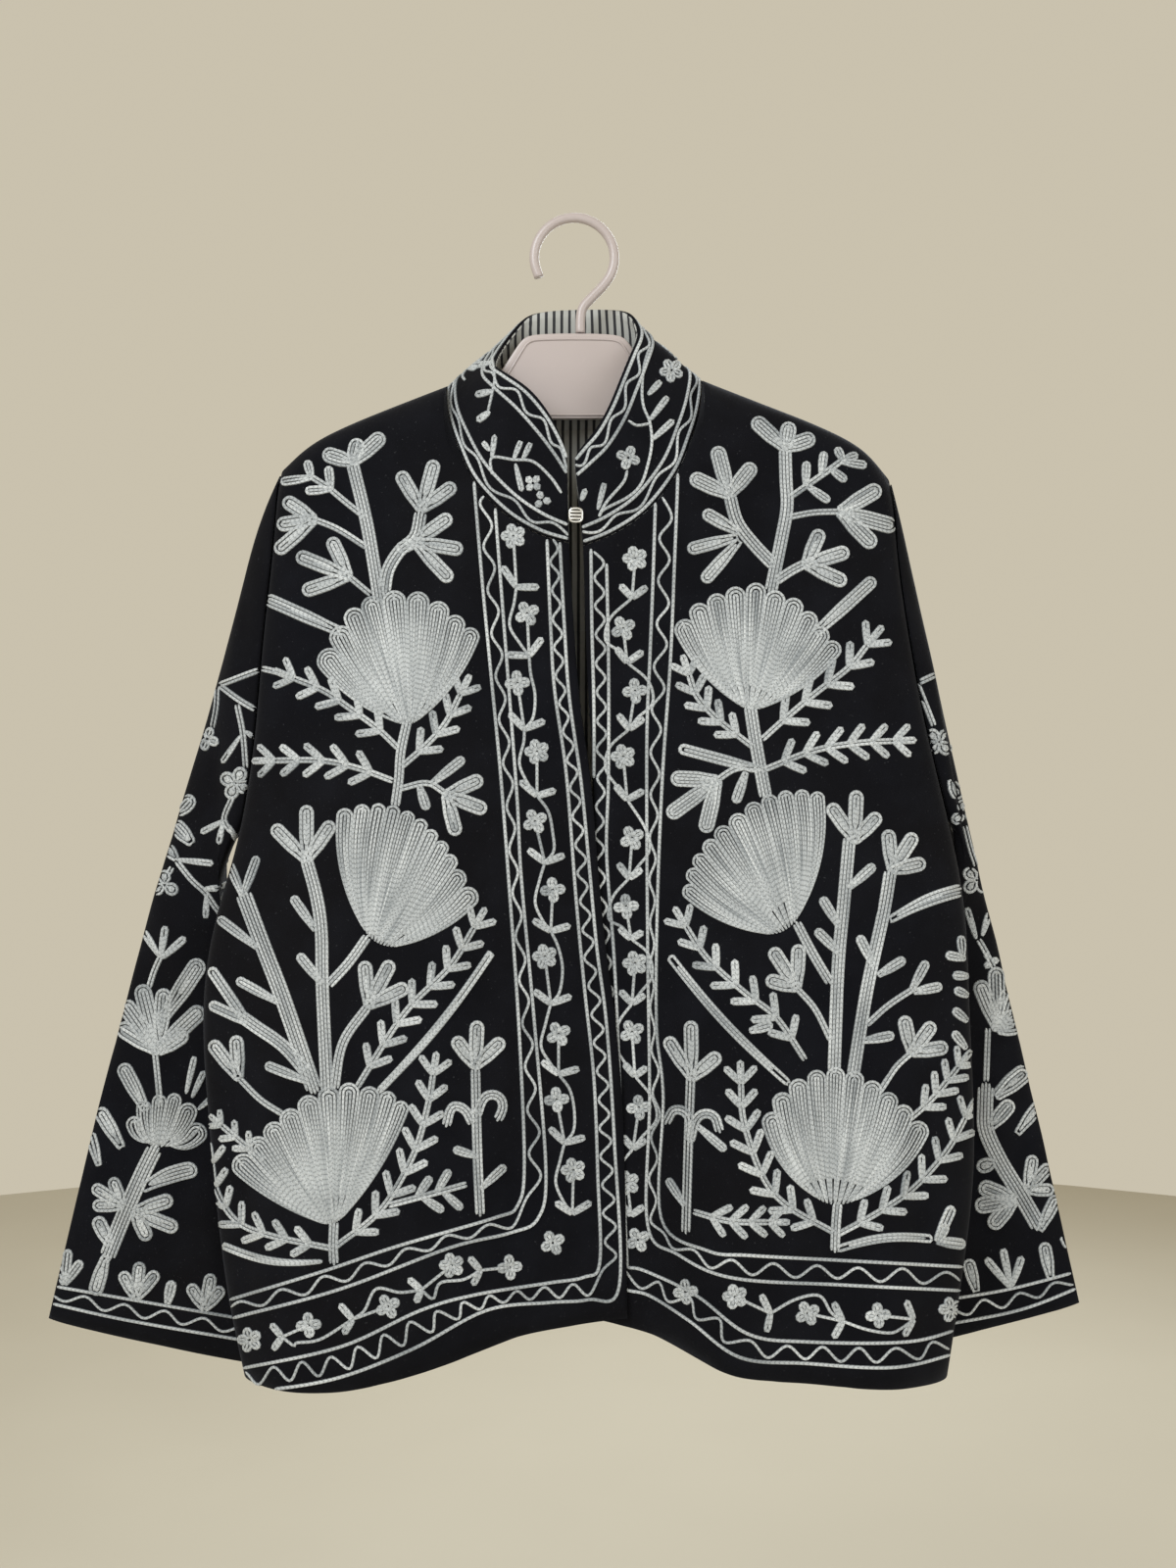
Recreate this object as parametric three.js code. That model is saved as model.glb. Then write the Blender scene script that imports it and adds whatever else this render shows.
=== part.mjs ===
// Suzani jacket on a plastic hanger.
// Millimetres, +Z up. +X points to the wearer's left, the front faces -Y, and the back faces +Y.
// The origin is the inner top of the hanger's hook, where a peg carries everything.
// "right" and "left" in names are the wearer's own.
import * as THREE from 'three';

// ---- Driving sizes ----
const CLOTH_WALL = 2.0;
const LINING_WALL = 1.0;
const SEAM_GAP = 0.3;
const HOOK_INNER_RADIUS = 25.2;
const HOOK_BAR = 7.0;
const HANGER_THICKNESS = 6.0;
const HANGER_EDGE_ROUND = 1.5;
const HANGER_ARM_START = 102;
const HANGER_ARM_END = 181;
const HANGER_ARM_HEIGHT = 15;
const HANGER_ARM_NOSE = 4;
const HANGER_ARM_NOSE_DROP = 2;
const HANGER_PLATE_FOOT = -141;
const HANGER_PLATE_FOOT_HALF_WIDTH = 70;
const CLOTH_OVER_ARM = 3.3;
const SHOULDER_ROLL = 25;
const UNDERARM = { right: -430, left: -426 };
const SHOULDER_TIP = { right: -178, left: -184 };
const ARMHOLE_HALF_DEPTH = 15;
const ARMHOLE_MARGIN = 4;
const SLEEVE_CLEAR = 0.7;
const SIDE_SQUARENESS = 2.6;
const BACK_SIDE_WIDTH = 0.44;
const FOLD_GROWTH = 1.4;
const FOLD_FADE = 6;
const SLEEVE_HEAD_SHARE = 0.2;

// ---- Tables: a row for each level, section or fold ----
// Outer edge of the body, seen from the front: armhole first, then side seam.
const SIDE_LINE = [
  { z: -178, right: -209.0, left: 224.6 },
  { z: -246, right: -213.5, left: 229.0 },
  { z: -290, right: -218.5, left: 235.0 },
  { z: -365, right: -225.0, left: 249.0 },
  { z: -432, right: -236.5, left: 267.0 },
  { z: -475, right: -249.0, left: 276.0 },
  { z: -560, right: -261.5, left: 278.0 },
  { z: -660, right: -255.0, left: 282.0 },
  { z: -762, right: -243.0, left: 270.0 },
  { z: -825, right: -229.0, left: 260.0 },
];
// Depth of the side seam: it swings forward below the underarm, ahead of the hanging sleeve.
const SIDE_DEPTH = [
  { z: -120, y: 0 },
  { z: -436, y: 0 },
  { z: -525, y: -18 },
  { z: -830, y: -18 },
];
// Front edges: the right front laps over the left front below the chest.
const FRONT_EDGE = [
  { z: -237, right: -3.4, left: 7.0 },
  { z: -341, right: 3.7, left: 10.5 },
  { z: -400, right: 12.0, left: 14.5 },
  { z: -456, right: 16.5, left: 14.5 },
  { z: -515, right: 22.0, left: 13.0 },
  { z: -568, right: 29.5, left: 12.0 },
  { z: -650, right: 35.0, left: 12.0 },
  { z: -790, right: 37.5, left: 14.0 },
];
// How far the fronts stand forward: at the edge, and at the fullest line of each panel.
const RIGHT_FRONT_DEPTH = [
  { z: -117, edge: -50, full: -22, fullAt: 0.62 },
  { z: -237, edge: -50, full: -32, fullAt: 0.62 },
  { z: -330, edge: -43, full: -42, fullAt: 0.58 },
  { z: -430, edge: -37, full: -50, fullAt: 0.50 },
  { z: -560, edge: -33, full: -56, fullAt: 0.48 },
  { z: -700, edge: -31, full: -64, fullAt: 0.48 },
  { z: -825, edge: -30, full: -68, fullAt: 0.50 },
];
const LEFT_FRONT_DEPTH = [
  { z: -113, edge: -50, full: -22, fullAt: 0.62 },
  { z: -237, edge: -50, full: -32, fullAt: 0.62 },
  { z: -330, edge: -41, full: -42, fullAt: 0.58 },
  { z: -430, edge: -32, full: -50, fullAt: 0.50 },
  { z: -560, edge: -27, full: -58, fullAt: 0.46 },
  { z: -700, edge: -24, full: -68, fullAt: 0.42 },
  { z: -825, edge: -22, full: -74, fullAt: 0.38 },
];
const BACK_DEPTH = [
  { z: -117, full: 25 },
  { z: -250, full: 24 },
  { z: -420, full: 23 },
  { z: -540, full: 19 },
  { z: -660, full: 17 },
  { z: -825, full: 17 },
];
// Hem height across each panel, from its middle edge to its side seam.
const HEM_LINE = [
  { across: 0.00, rightFront: -773, leftFront: -776, back: -788 },
  { across: 0.25, rightFront: -779, leftFront: -788, back: -791 },
  { across: 0.50, rightFront: -796, leftFront: -803, back: -798 },
  { across: 0.80, rightFront: -815, leftFront: -810, back: -807 },
  { across: 1.00, rightFront: -812, leftFront: -812, back: -812 },
];
// Shoulder seams, from the collar to the shoulder tip.
const RIGHT_SHOULDER = [
  { x: -91, z: -117 },
  { x: -127, z: -131 },
  { x: -159, z: -144 },
  { x: -187, z: -158 },
  { x: -209, z: -178 },
];
const LEFT_SHOULDER = [
  { x: 91, z: -113 },
  { x: 130, z: -128 },
  { x: 180, z: -148 },
  { x: 206, z: -162 },
  { x: 224.8, z: -184 },
];
// Soft vertical folds: a line from its head to its foot, half width, and rise out of the panel.
const RIGHT_FRONT_FOLDS = [
  { headX: -72, headZ: -300, footX: -112, footZ: -820, width: 22, rise: 5 },
  { headX: -150, headZ: -330, footX: -172, footZ: -820, width: 20, rise: -5 },
  { headX: -196, headZ: -400, footX: -206, footZ: -820, width: 13, rise: 5 },
  { headX: -26, headZ: -420, footX: -36, footZ: -800, width: 15, rise: -3 },
];
const LEFT_FRONT_FOLDS = [
  { headX: 62, headZ: -500, footX: 56, footZ: -800, width: 17, rise: -8 },
  { headX: 92, headZ: -380, footX: 104, footZ: -800, width: 18, rise: 9 },
  { headX: 168, headZ: -330, footX: 164, footZ: -800, width: 21, rise: -6 },
  { headX: 222, headZ: -430, footX: 220, footZ: -800, width: 15, rise: 5 },
];
const BACK_FOLDS = [
  { headX: -112, headZ: -250, footX: -146, footZ: -800, width: 25, rise: 5 },
  { headX: -36, headZ: -300, footX: -50, footZ: -800, width: 22, rise: -4 },
  { headX: 58, headZ: -270, footX: 78, footZ: -800, width: 24, rise: 5 },
  { headX: 148, headZ: -300, footX: 160, footZ: -800, width: 21, rise: -4 },
];
// Stand collar: seam on the neckline and free top edge, from the right front end round the back.
const COLLAR = [
  { step: 0, seamX: -3.4, seamY: -50, seamZ: -236, topX: -4.5, topY: -51, topZ: -176 },
  { step: 1, seamX: -24, seamY: -49, seamZ: -230, topX: -10, topY: -49, topZ: -160 },
  { step: 2, seamX: -47, seamY: -44, seamZ: -216, topX: -19, topY: -46, topZ: -143 },
  { step: 3, seamX: -69, seamY: -36, seamZ: -192, topX: -32, topY: -41, topZ: -127 },
  { step: 4, seamX: -81, seamY: -26, seamZ: -165, topX: -48, topY: -34, topZ: -115 },
  { step: 5, seamX: -89, seamY: -13, seamZ: -139, topX: -57, topY: -22, topZ: -106 },
  { step: 6, seamX: -91, seamY: 0, seamZ: -117, topX: -53, topY: -6, topZ: -92 },
  { step: 7, seamX: -79, seamY: 12, seamZ: -113, topX: -44, topY: 7, topZ: -75 },
  { step: 8, seamX: -52, seamY: 21, seamZ: -117, topX: -33, topY: 15, topZ: -62 },
  { step: 9, seamX: -26, seamY: 24.5, seamZ: -119, topX: -17, topY: 19, topZ: -58 },
  { step: 10, seamX: 0, seamY: 25, seamZ: -120, topX: 0, topY: 20, topZ: -57 },
  { step: 11, seamX: 26, seamY: 24.5, seamZ: -119, topX: 18, topY: 19, topZ: -57 },
  { step: 12, seamX: 52, seamY: 21, seamZ: -116, topX: 35, topY: 14, topZ: -59 },
  { step: 13, seamX: 79, seamY: 12, seamZ: -110, topX: 44, topY: 5, topZ: -67 },
  { step: 14, seamX: 91, seamY: 0, seamZ: -113, topX: 46, topY: -8, topZ: -81 },
  { step: 15, seamX: 89, seamY: -13, seamZ: -136, topX: 40, topY: -20, topZ: -98 },
  { step: 16, seamX: 82, seamY: -26, seamZ: -160, topX: 33, topY: -31, topZ: -117 },
  { step: 17, seamX: 71, seamY: -36, seamZ: -187, topX: 25, topY: -39, topZ: -138 },
  { step: 18, seamX: 50, seamY: -44, seamZ: -214, topX: 16, topY: -45, topZ: -156 },
  { step: 19, seamX: 27, seamY: -49, seamZ: -230, topX: 7, topY: -49, topZ: -168 },
  { step: 20, seamX: 6.5, seamY: -50, seamZ: -238, topX: 0.5, topY: -51, topZ: -177 },
];
const RIGHT_NECK_POINT = 6;
const LEFT_NECK_POINT = 14;
const COLLAR_END = 20;
const COLLAR_BOW = 2.5;
// Sleeves: outer line and inner line of each flattened ring, its depth place and half depth.
const RIGHT_SLEEVE = [
  { along: 0.00, outX: -209.5, outZ: -179.5, inX: -236.5, inZ: -432.5, midY: 0, half: 17.4 },
  { along: 0.08, outX: -226, outZ: -214, inX: -247, inZ: -452, midY: 5, half: 19 },
  { along: 0.20, outX: -247, outZ: -289, inX: -256, inZ: -480, midY: 15, half: 20 },
  { along: 0.32, outX: -271, outZ: -366, inX: -252, inZ: -523, midY: 23, half: 20 },
  { along: 0.45, outX: -293, outZ: -437, inX: -246, inZ: -576, midY: 25, half: 20 },
  { along: 0.58, outX: -314, outZ: -508, inX: -240, inZ: -633, midY: 25, half: 19 },
  { along: 0.72, outX: -341, outZ: -613, inX: -230, inZ: -698, midY: 25, half: 17 },
  { along: 0.86, outX: -364, outZ: -708, inX: -220, inZ: -764, midY: 25, half: 14 },
  { along: 1.00, outX: -383.5, outZ: -789.5, inX: -210, inZ: -826, midY: 25, half: 10 },
];
const LEFT_SLEEVE = [
  { along: 0.00, outX: 225.3, outZ: -185.5, inX: 266.0, inZ: -428.5, midY: 0, half: 17.4 },
  { along: 0.08, outX: 235, outZ: -220, inX: 278, inZ: -448, midY: 5, half: 19 },
  { along: 0.20, outX: 252, outZ: -290, inX: 284, inZ: -480, midY: 16, half: 20 },
  { along: 0.32, outX: 270, outZ: -362, inX: 276, inZ: -524, midY: 23, half: 20 },
  { along: 0.45, outX: 287, outZ: -432, inX: 266, inZ: -577, midY: 25, half: 20 },
  { along: 0.58, outX: 304, outZ: -503, inX: 256, inZ: -631, midY: 25, half: 19 },
  { along: 0.72, outX: 328, outZ: -602, inX: 240, inZ: -695, midY: 25, half: 17 },
  { along: 0.86, outX: 350, outZ: -698, inX: 220, inZ: -760, midY: 25, half: 14 },
  { along: 1.00, outX: 368, outZ: -778, inX: 198, inZ: -820, midY: 25, half: 10 },
];
const SLEEVE_FLATNESS = 0.72;

// ---- Finishes ----
const BLACK_CLOTH = { color: 0x14141a, roughness: 0.95, metalness: 0 };
const STRIPED_LINING = { color: 0x8f8c86, roughness: 0.9, metalness: 0 };
const HANGER_PLASTIC = { color: 0xbfaaa5, roughness: 0.35, metalness: 0 };
const BRIGHT_METAL = { color: 0xc8c8c8, roughness: 0.25, metalness: 1 };

// ---- Reading a table ----
function secant(rows, place, column, i) {
  const rise = rows[i + 1][column] - rows[i][column];
  return rise / (rows[i + 1][place] - rows[i][place]);
}

// Slope that keeps the curve between its rows, with no overshoot.
function slopeAtRow(rows, place, column, i) {
  if (i === 0) return secant(rows, place, column, 0);
  if (i === rows.length - 1) return secant(rows, place, column, i - 1);
  const before = secant(rows, place, column, i - 1);
  const after = secant(rows, place, column, i);
  return before * after <= 0 ? 0 : (2 * before * after) / (before + after);
}

// One column of a table, on a smooth curve through its rows, held level past both ends.
function read(rows, place, column, at) {
  const last = rows.length - 1;
  const way = Math.sign(rows[last][place] - rows[0][place]);
  if (way * (at - rows[0][place]) <= 0) return rows[0][column];
  if (way * (at - rows[last][place]) >= 0) return rows[last][column];
  let i = 0;
  while (way * (at - rows[i + 1][place]) > 0) i += 1;
  const span = rows[i + 1][place] - rows[i][place];
  const t = (at - rows[i][place]) / span;
  const startSlope = slopeAtRow(rows, place, column, i) * span;
  const endSlope = slopeAtRow(rows, place, column, i + 1) * span;
  const start = rows[i][column] * (2 * t ** 3 - 3 * t ** 2 + 1);
  const end = rows[i + 1][column] * (3 * t ** 2 - 2 * t ** 3);
  return start + startSlope * (t ** 3 - 2 * t ** 2 + t) + end + endSlope * (t ** 3 - t ** 2);
}

function clamp01(value) {
  return Math.min(1, Math.max(0, value));
}

function smooth(value) {
  const t = clamp01(value);
  return t * t * (3 - 2 * t);
}

function mix(a, b, t) {
  return a + (b - a) * t;
}

// ---- Closed walls from grids of points ----
// Normal of one grid point. tangents may fix the direction across or down at an edge that turns round.
function normalAt(grid, row, column, around, tangents) {
  const columns = grid[0].length;
  const before = around ? (column + columns - 1) % columns : Math.max(0, column - 1);
  const after = around ? (column + 1) % columns : Math.min(columns - 1, column + 1);
  const above = grid[Math.max(0, row - 1)][column];
  const below = grid[Math.min(grid.length - 1, row + 1)][column];
  const fixed = tangents(row, column);
  const across = fixed.across ?? new THREE.Vector3().subVectors(grid[row][after], grid[row][before]);
  const down = fixed.down ?? new THREE.Vector3().subVectors(below, above);
  return new THREE.Vector3().crossVectors(across, down).normalize();
}

// Moves every point of a grid inwards; outward gives the rough outward direction at a point.
function inside(grid, distance, outward, around = false, tangents = () => ({})) {
  const normals = grid.map((line, row) => line.map((point, column) => (
    normalAt(grid, row, column, around, tangents))));
  const agreement = grid.flat().reduce((sum, point, i) => sum + normals.flat()[i].dot(outward(point)), 0);
  const step = agreement > 0 ? -distance : distance;
  return grid.map((line, row) => line.map((point, column) => (
    point.clone().addScaledVector(normals[row][column], step))));
}

function pushQuad(triangles, a, b, c, d) {
  triangles.push(a, b, c, a, c, d);
}

function signedVolume(points, triangles) {
  let volume = 0;
  for (let i = 0; i < triangles.length; i += 3) {
    const [a, b, c] = [points[triangles[i]], points[triangles[i + 1]], points[triangles[i + 2]]];
    volume += a.dot(new THREE.Vector3().crossVectors(b, c)) / 6;
  }
  return volume;
}

// Turns the faces outward when the grid ran the other way round.
function closedBody(points, triangles) {
  const index = signedVolume(points, triangles) > 0 ? triangles : triangles.slice().reverse();
  const geometry = new THREE.BufferGeometry();
  geometry.setAttribute('position', new THREE.Float32BufferAttribute(points.flatMap((p) => p.toArray()), 3));
  geometry.setIndex(index);
  geometry.computeVertexNormals();
  return geometry;
}

// A closed wall between two grids of the same size; around joins the last column to the first.
function wall(outer, inner, around = false) {
  const rows = outer.length;
  const columns = outer[0].length;
  const outerAt = (row, column) => row * columns + (column % columns);
  const innerAt = (row, column) => rows * columns + outerAt(row, column);
  const triangles = [];
  const cells = around ? columns : columns - 1;
  const foot = rows - 1;
  const side = columns - 1;
  for (let c = 0; c < cells; c += 1) {
    for (let r = 0; r < foot; r += 1) {
      pushQuad(triangles, outerAt(r, c), outerAt(r + 1, c), outerAt(r + 1, c + 1), outerAt(r, c + 1));
      pushQuad(triangles, innerAt(r, c), innerAt(r, c + 1), innerAt(r + 1, c + 1), innerAt(r + 1, c));
    }
    pushQuad(triangles, outerAt(0, c), outerAt(0, c + 1), innerAt(0, c + 1), innerAt(0, c));
    pushQuad(triangles, outerAt(foot, c + 1), outerAt(foot, c), innerAt(foot, c), innerAt(foot, c + 1));
  }
  for (let r = 0; r < foot && !around; r += 1) {
    pushQuad(triangles, outerAt(r + 1, 0), outerAt(r, 0), innerAt(r, 0), innerAt(r + 1, 0));
    pushQuad(triangles, outerAt(r, side), outerAt(r + 1, side), innerAt(r + 1, side), innerAt(r, side));
  }
  return closedBody([...outer.flat(), ...inner.flat()], triangles);
}

// ---- Body form ----
// Outline of a flattened ring: 0 at both ends, 1 in the middle.
function ringDepth(along) {
  const turn = Math.acos(1 - 2 * clamp01(along));
  return Math.sin(turn) ** SLEEVE_FLATNESS;
}

// Half depth of the armhole at a height, 0 above and below it.
function armholeDepth(side, z) {
  const head = SHOULDER_TIP[side] - ARMHOLE_MARGIN;
  return ARMHOLE_HALF_DEPTH * ringDepth((z - head) / (UNDERARM[side] - head));
}

// Depth of a panel's outer edge. facing is -1 on the fronts and 1 on the back.
function sideEdgeDepth(side, z, facing) {
  const seam = read(SIDE_DEPTH, 'z', 'y', z) + facing * SEAM_GAP / 2;
  return seam + facing * armholeDepth(side, z);
}

// Nearly flat panel that turns round into its side: 0 at the start, 1 at the edge.
function sideTurn(along) {
  return 1 - (1 - clamp01(along) ** SIDE_SQUARENESS) ** (1 / SIDE_SQUARENESS);
}

function foldRise(folds, x, z) {
  let rise = 0;
  for (const fold of folds) {
    const down = clamp01((fold.headZ - z) / (fold.headZ - fold.footZ));
    const away = (x - mix(fold.headX, fold.footX, down)) / fold.width;
    rise += fold.rise * smooth(down * FOLD_GROWTH) * Math.exp(-away * away);
  }
  return rise;
}

const FRONTS = {
  right: { depth: RIGHT_FRONT_DEPTH, folds: RIGHT_FRONT_FOLDS, hem: 'rightFront', shoulder: RIGHT_SHOULDER },
  left: { depth: LEFT_FRONT_DEPTH, folds: LEFT_FRONT_FOLDS, hem: 'leftFront', shoulder: LEFT_SHOULDER },
};

// Place on a front: across is 0 at the front edge and 1 at the side.
function frontX(side, across, z) {
  return mix(read(FRONT_EDGE, 'z', side, z), read(SIDE_LINE, 'z', side, z), across);
}

function frontY(side, across, z) {
  const { depth, folds } = FRONTS[side];
  const edge = read(depth, 'z', 'edge', z);
  const full = read(depth, 'z', 'full', z);
  const fullAt = read(depth, 'z', 'fullAt', z);
  const body = mix(edge, full, smooth(across / fullAt));
  const turn = sideTurn((across - fullAt) / (1 - fullAt));
  const fold = foldRise(folds, frontX(side, across, z), z) * (1 - clamp01(across) ** FOLD_FADE);
  return mix(body - fold, sideEdgeDepth(side, z, -1), turn);
}

// Place on the back: across is -1 at the right side and 1 at the left side.
function backX(across, z) {
  const side = across < 0 ? 'right' : 'left';
  return Math.abs(across) * read(SIDE_LINE, 'z', side, z);
}

function backY(across, z) {
  const side = across < 0 ? 'right' : 'left';
  const reach = Math.abs(across);
  const fold = foldRise(BACK_FOLDS, backX(across, z), z) * (1 - reach ** FOLD_FADE);
  const turn = sideTurn((reach - (1 - BACK_SIDE_WIDTH)) / BACK_SIDE_WIDTH);
  return mix(read(BACK_DEPTH, 'z', 'full', z) + fold, sideEdgeDepth(side, z, 1), turn);
}

// Cloth turns over the shoulder in a quarter round: 0 on the seam, 1 at the foot of the turn.
function shoulderTurn(drop) {
  const t = 1 - clamp01(drop / SHOULDER_ROLL);
  return Math.sqrt(1 - t * t);
}

// ---- Collar form ----
function collarPoint(step, up) {
  const at = (column) => read(COLLAR, 'step', column, step);
  const seam = new THREE.Vector3(at('seamX'), at('seamY'), at('seamZ'));
  const top = new THREE.Vector3(at('topX'), at('topY'), at('topZ'));
  return seam.lerp(top, up);
}

// ---- Panels as columns of points, from the top edge down to the hem ----
const COLLAR_STEP = 0.5;
const PANEL_ROWS = 23;
const PANEL_ROW_CROWDING = 1.7;
const NECK_SEAM_SHARE = 0.0035;
const NECK_FOOT = { front: 0.5, back: 0.4 };
// Places of the shoulder columns, from the neck point at 0 to the shoulder tip at 1.
const SHOULDER_PLACES = [0.13, 0.26, 0.39, 0.52, 0.65, 0.77, 0.87, 0.94, 0.98, 1];

function shoulderTops(side, neckFoot) {
  const rows = FRONTS[side].shoulder;
  return SHOULDER_PLACES.map((place) => {
    const x = mix(rows[0].x, rows[rows.length - 1].x, place);
    const point = new THREE.Vector3(x, 0, read(rows, 'x', 'z', x));
    return { point, foot: mix(neckFoot, 1, place) };
  });
}

// Top points of a front, from its front edge to the shoulder tip.
function frontTops(side) {
  const neckPoint = side === 'right' ? RIGHT_NECK_POINT : COLLAR_END - LEFT_NECK_POINT;
  const tops = [];
  for (let step = 0; step <= neckPoint; step += COLLAR_STEP) {
    const point = collarPoint(side === 'right' ? step : COLLAR_END - step, -NECK_SEAM_SHARE);
    tops.push({ point, foot: NECK_FOOT.front * step / neckPoint });
  }
  return [...tops, ...shoulderTops(side, NECK_FOOT.front)];
}

// Top points of the back, from the right shoulder tip to the left one.
function backTops() {
  const toRight = shoulderTops('right', NECK_FOOT.back).map(({ point, foot }) => ({ point, foot: -foot }));
  const half = (LEFT_NECK_POINT - RIGHT_NECK_POINT) / 2;
  const neck = [];
  for (let step = -half; step <= half; step += COLLAR_STEP) {
    const point = collarPoint(RIGHT_NECK_POINT + half + step, -NECK_SEAM_SHARE);
    neck.push({ point, foot: NECK_FOOT.back * step / half });
  }
  return [...toRight.reverse(), ...neck, ...shoulderTops('left', NECK_FOOT.back)];
}

// The grid of a panel: every column runs from its top point to its foot on the hem.
function panelGrid(tops, facing, acrossAtTop, xAt, yAt, hemAt) {
  const grid = [];
  for (let row = 0; row <= PANEL_ROWS; row += 1) {
    const down = (row / PANEL_ROWS) ** PANEL_ROW_CROWDING;
    grid.push(tops.map(({ point, foot }) => {
      const z = mix(point.z, hemAt(foot), down);
      const across = Math.abs(foot) === 1 ? foot : mix(acrossAtTop(point), foot, smooth(down));
      const y = mix(point.y + facing * SEAM_GAP / 2, yAt(across, z), shoulderTurn(point.z - z));
      return new THREE.Vector3(xAt(across, z), y, z);
    }));
  }
  return grid;
}

// Panels turn over at the shoulder seam and round at the side seam, so their edges face up and out.
function panel(grid, facing, sideColumns, isShoulder) {
  const tangents = (row, column) => {
    if (column in sideColumns) return { across: new THREE.Vector3(0, sideColumns[column], 0) };
    return row === 0 && isShoulder(column) ? { down: new THREE.Vector3(0, facing, 0) } : {};
  };
  const outward = () => new THREE.Vector3(0, facing, 0);
  return wall(grid, inside(grid, CLOTH_WALL, outward, false, tangents));
}

function frontPanel(side) {
  const tops = frontTops(side);
  const last = tops.length - 1;
  const edgeAt = (z) => read(FRONT_EDGE, 'z', side, z);
  const sideAt = (z) => read(SIDE_LINE, 'z', side, z);
  const acrossAtTop = (p) => (p.x - edgeAt(p.z)) / (sideAt(p.z) - edgeAt(p.z));
  const hemAt = (foot) => read(HEM_LINE, 'across', FRONTS[side].hem, foot);
  const xAt = (across, z) => frontX(side, across, z);
  const yAt = (across, z) => frontY(side, across, z);
  const grid = panelGrid(tops, -1, acrossAtTop, xAt, yAt, hemAt);
  const neckPoint = last - SHOULDER_PLACES.length;
  return panel(grid, -1, { [last]: 1 }, (column) => column >= neckPoint);
}

function backPanel() {
  const tops = backTops();
  const last = tops.length - 1;
  const acrossAtTop = (p) => p.x / Math.abs(read(SIDE_LINE, 'z', p.x < 0 ? 'right' : 'left', p.z));
  const hemAt = (foot) => read(HEM_LINE, 'across', 'back', Math.abs(foot));
  const grid = panelGrid(tops, 1, acrossAtTop, backX, backY, hemAt);
  const neckPoint = SHOULDER_PLACES.length;
  return panel(grid, 1, { 0: 1, [last]: -1 }, (column) => column <= neckPoint || column >= last - neckPoint);
}

// ---- Sleeves ----
const SLEEVE_RINGS = 16;
const SLEEVE_RING_POINTS = 22;

// One point of a sleeve's outer face: along from armhole to cuff, turn round the ring.
function sleevePoint(side, rows, along, turn) {
  const at = (column) => read(rows, 'along', column, along);
  const across = (1 - Math.cos(turn)) / 2;
  const z = mix(at('outZ'), at('inZ'), across);
  const armholeZ = mix(rows[0].outZ, rows[0].inZ, across);
  const armholeX = read(SIDE_LINE, 'z', side, armholeZ) + Math.sign(rows[0].outX) * SLEEVE_CLEAR;
  const bend = armholeX - mix(rows[0].outX, rows[0].inX, across);
  const x = mix(at('outX'), at('inX'), across) + bend * (1 - smooth(along / SLEEVE_HEAD_SHARE));
  const front = Math.sin(turn);
  const y = at('midY') - Math.sign(front) * at('half') * Math.abs(front) ** SLEEVE_FLATNESS;
  return new THREE.Vector3(x, y, z);
}

function sleeve(side, rows) {
  const outer = [];
  for (let ring = 0; ring <= SLEEVE_RINGS; ring += 1) {
    const points = [];
    for (let i = 0; i < SLEEVE_RING_POINTS; i += 1) {
      const turn = (i + 0.5) * 2 * Math.PI / SLEEVE_RING_POINTS;
      points.push(sleevePoint(side, rows, ring / SLEEVE_RINGS, turn));
    }
    outer.push(points);
  }
  const middles = outer.map((points) => points.reduce((sum, p) => sum.add(p), new THREE.Vector3())
    .divideScalar(points.length));
  const nearest = (point) => middles.reduce((best, m) => (
    m.distanceTo(point) < best.distanceTo(point) ? m : best));
  const inner = inside(outer, CLOTH_WALL, (point) => point.clone().sub(nearest(point)), true);
  // The armhole end lies flat against the body.
  for (const point of inner[0]) {
    point.x = read(SIDE_LINE, 'z', side, point.z) + Math.sign(rows[0].outX) * SLEEVE_CLEAR;
  }
  return wall(outer, inner, true);
}

// ---- Collar and linings ----
const COLLAR_ROWS = 5;
const NECK_LINING = { halfWidth: 68, top: -144, foot: -290, columns: 10, rows: 8 };

function collarGrid() {
  const grid = [];
  for (let row = 0; row <= COLLAR_ROWS; row += 1) {
    const up = mix(NECK_SEAM_SHARE, 1, row / COLLAR_ROWS);
    const line = [];
    for (let step = 0; step <= COLLAR_END; step += COLLAR_STEP) {
      const point = collarPoint(step, up);
      const bow = COLLAR_BOW * Math.sin(Math.PI * up);
      const out = new THREE.Vector3(point.x, point.y, 0).normalize();
      line.push(point.addScaledVector(out, bow));
    }
    grid.push(line);
  }
  return grid;
}

const fromNeckAxis = (point) => new THREE.Vector3(point.x, point.y, 0);

function collar() {
  const outer = collarGrid();
  return wall(outer, inside(outer, CLOTH_WALL, fromNeckAxis));
}

function collarLining() {
  const outer = inside(collarGrid(), CLOTH_WALL + SEAM_GAP, fromNeckAxis);
  return wall(outer, inside(outer, LINING_WALL, fromNeckAxis));
}

function neckLining() {
  const { halfWidth, top, foot, columns, rows } = NECK_LINING;
  const grid = (depth) => Array.from({ length: rows + 1 }, (_, row) => (
    Array.from({ length: columns + 1 }, (__, column) => {
      const z = mix(top, foot, row / rows);
      const x = mix(-halfWidth, halfWidth, column / columns);
      const across = x / Math.abs(read(SIDE_LINE, 'z', x < 0 ? 'right' : 'left', z));
      return new THREE.Vector3(x, backY(across, z) - CLOTH_WALL - depth, z);
    })));
  return wall(grid(2 * SEAM_GAP), grid(2 * SEAM_GAP + LINING_WALL));
}

// ---- Closure ----
const CLOSURE = { width: 11, height: 8.6, thickness: 1.2, x: 1.5, y: -53.3, z: -217.5 };

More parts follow.
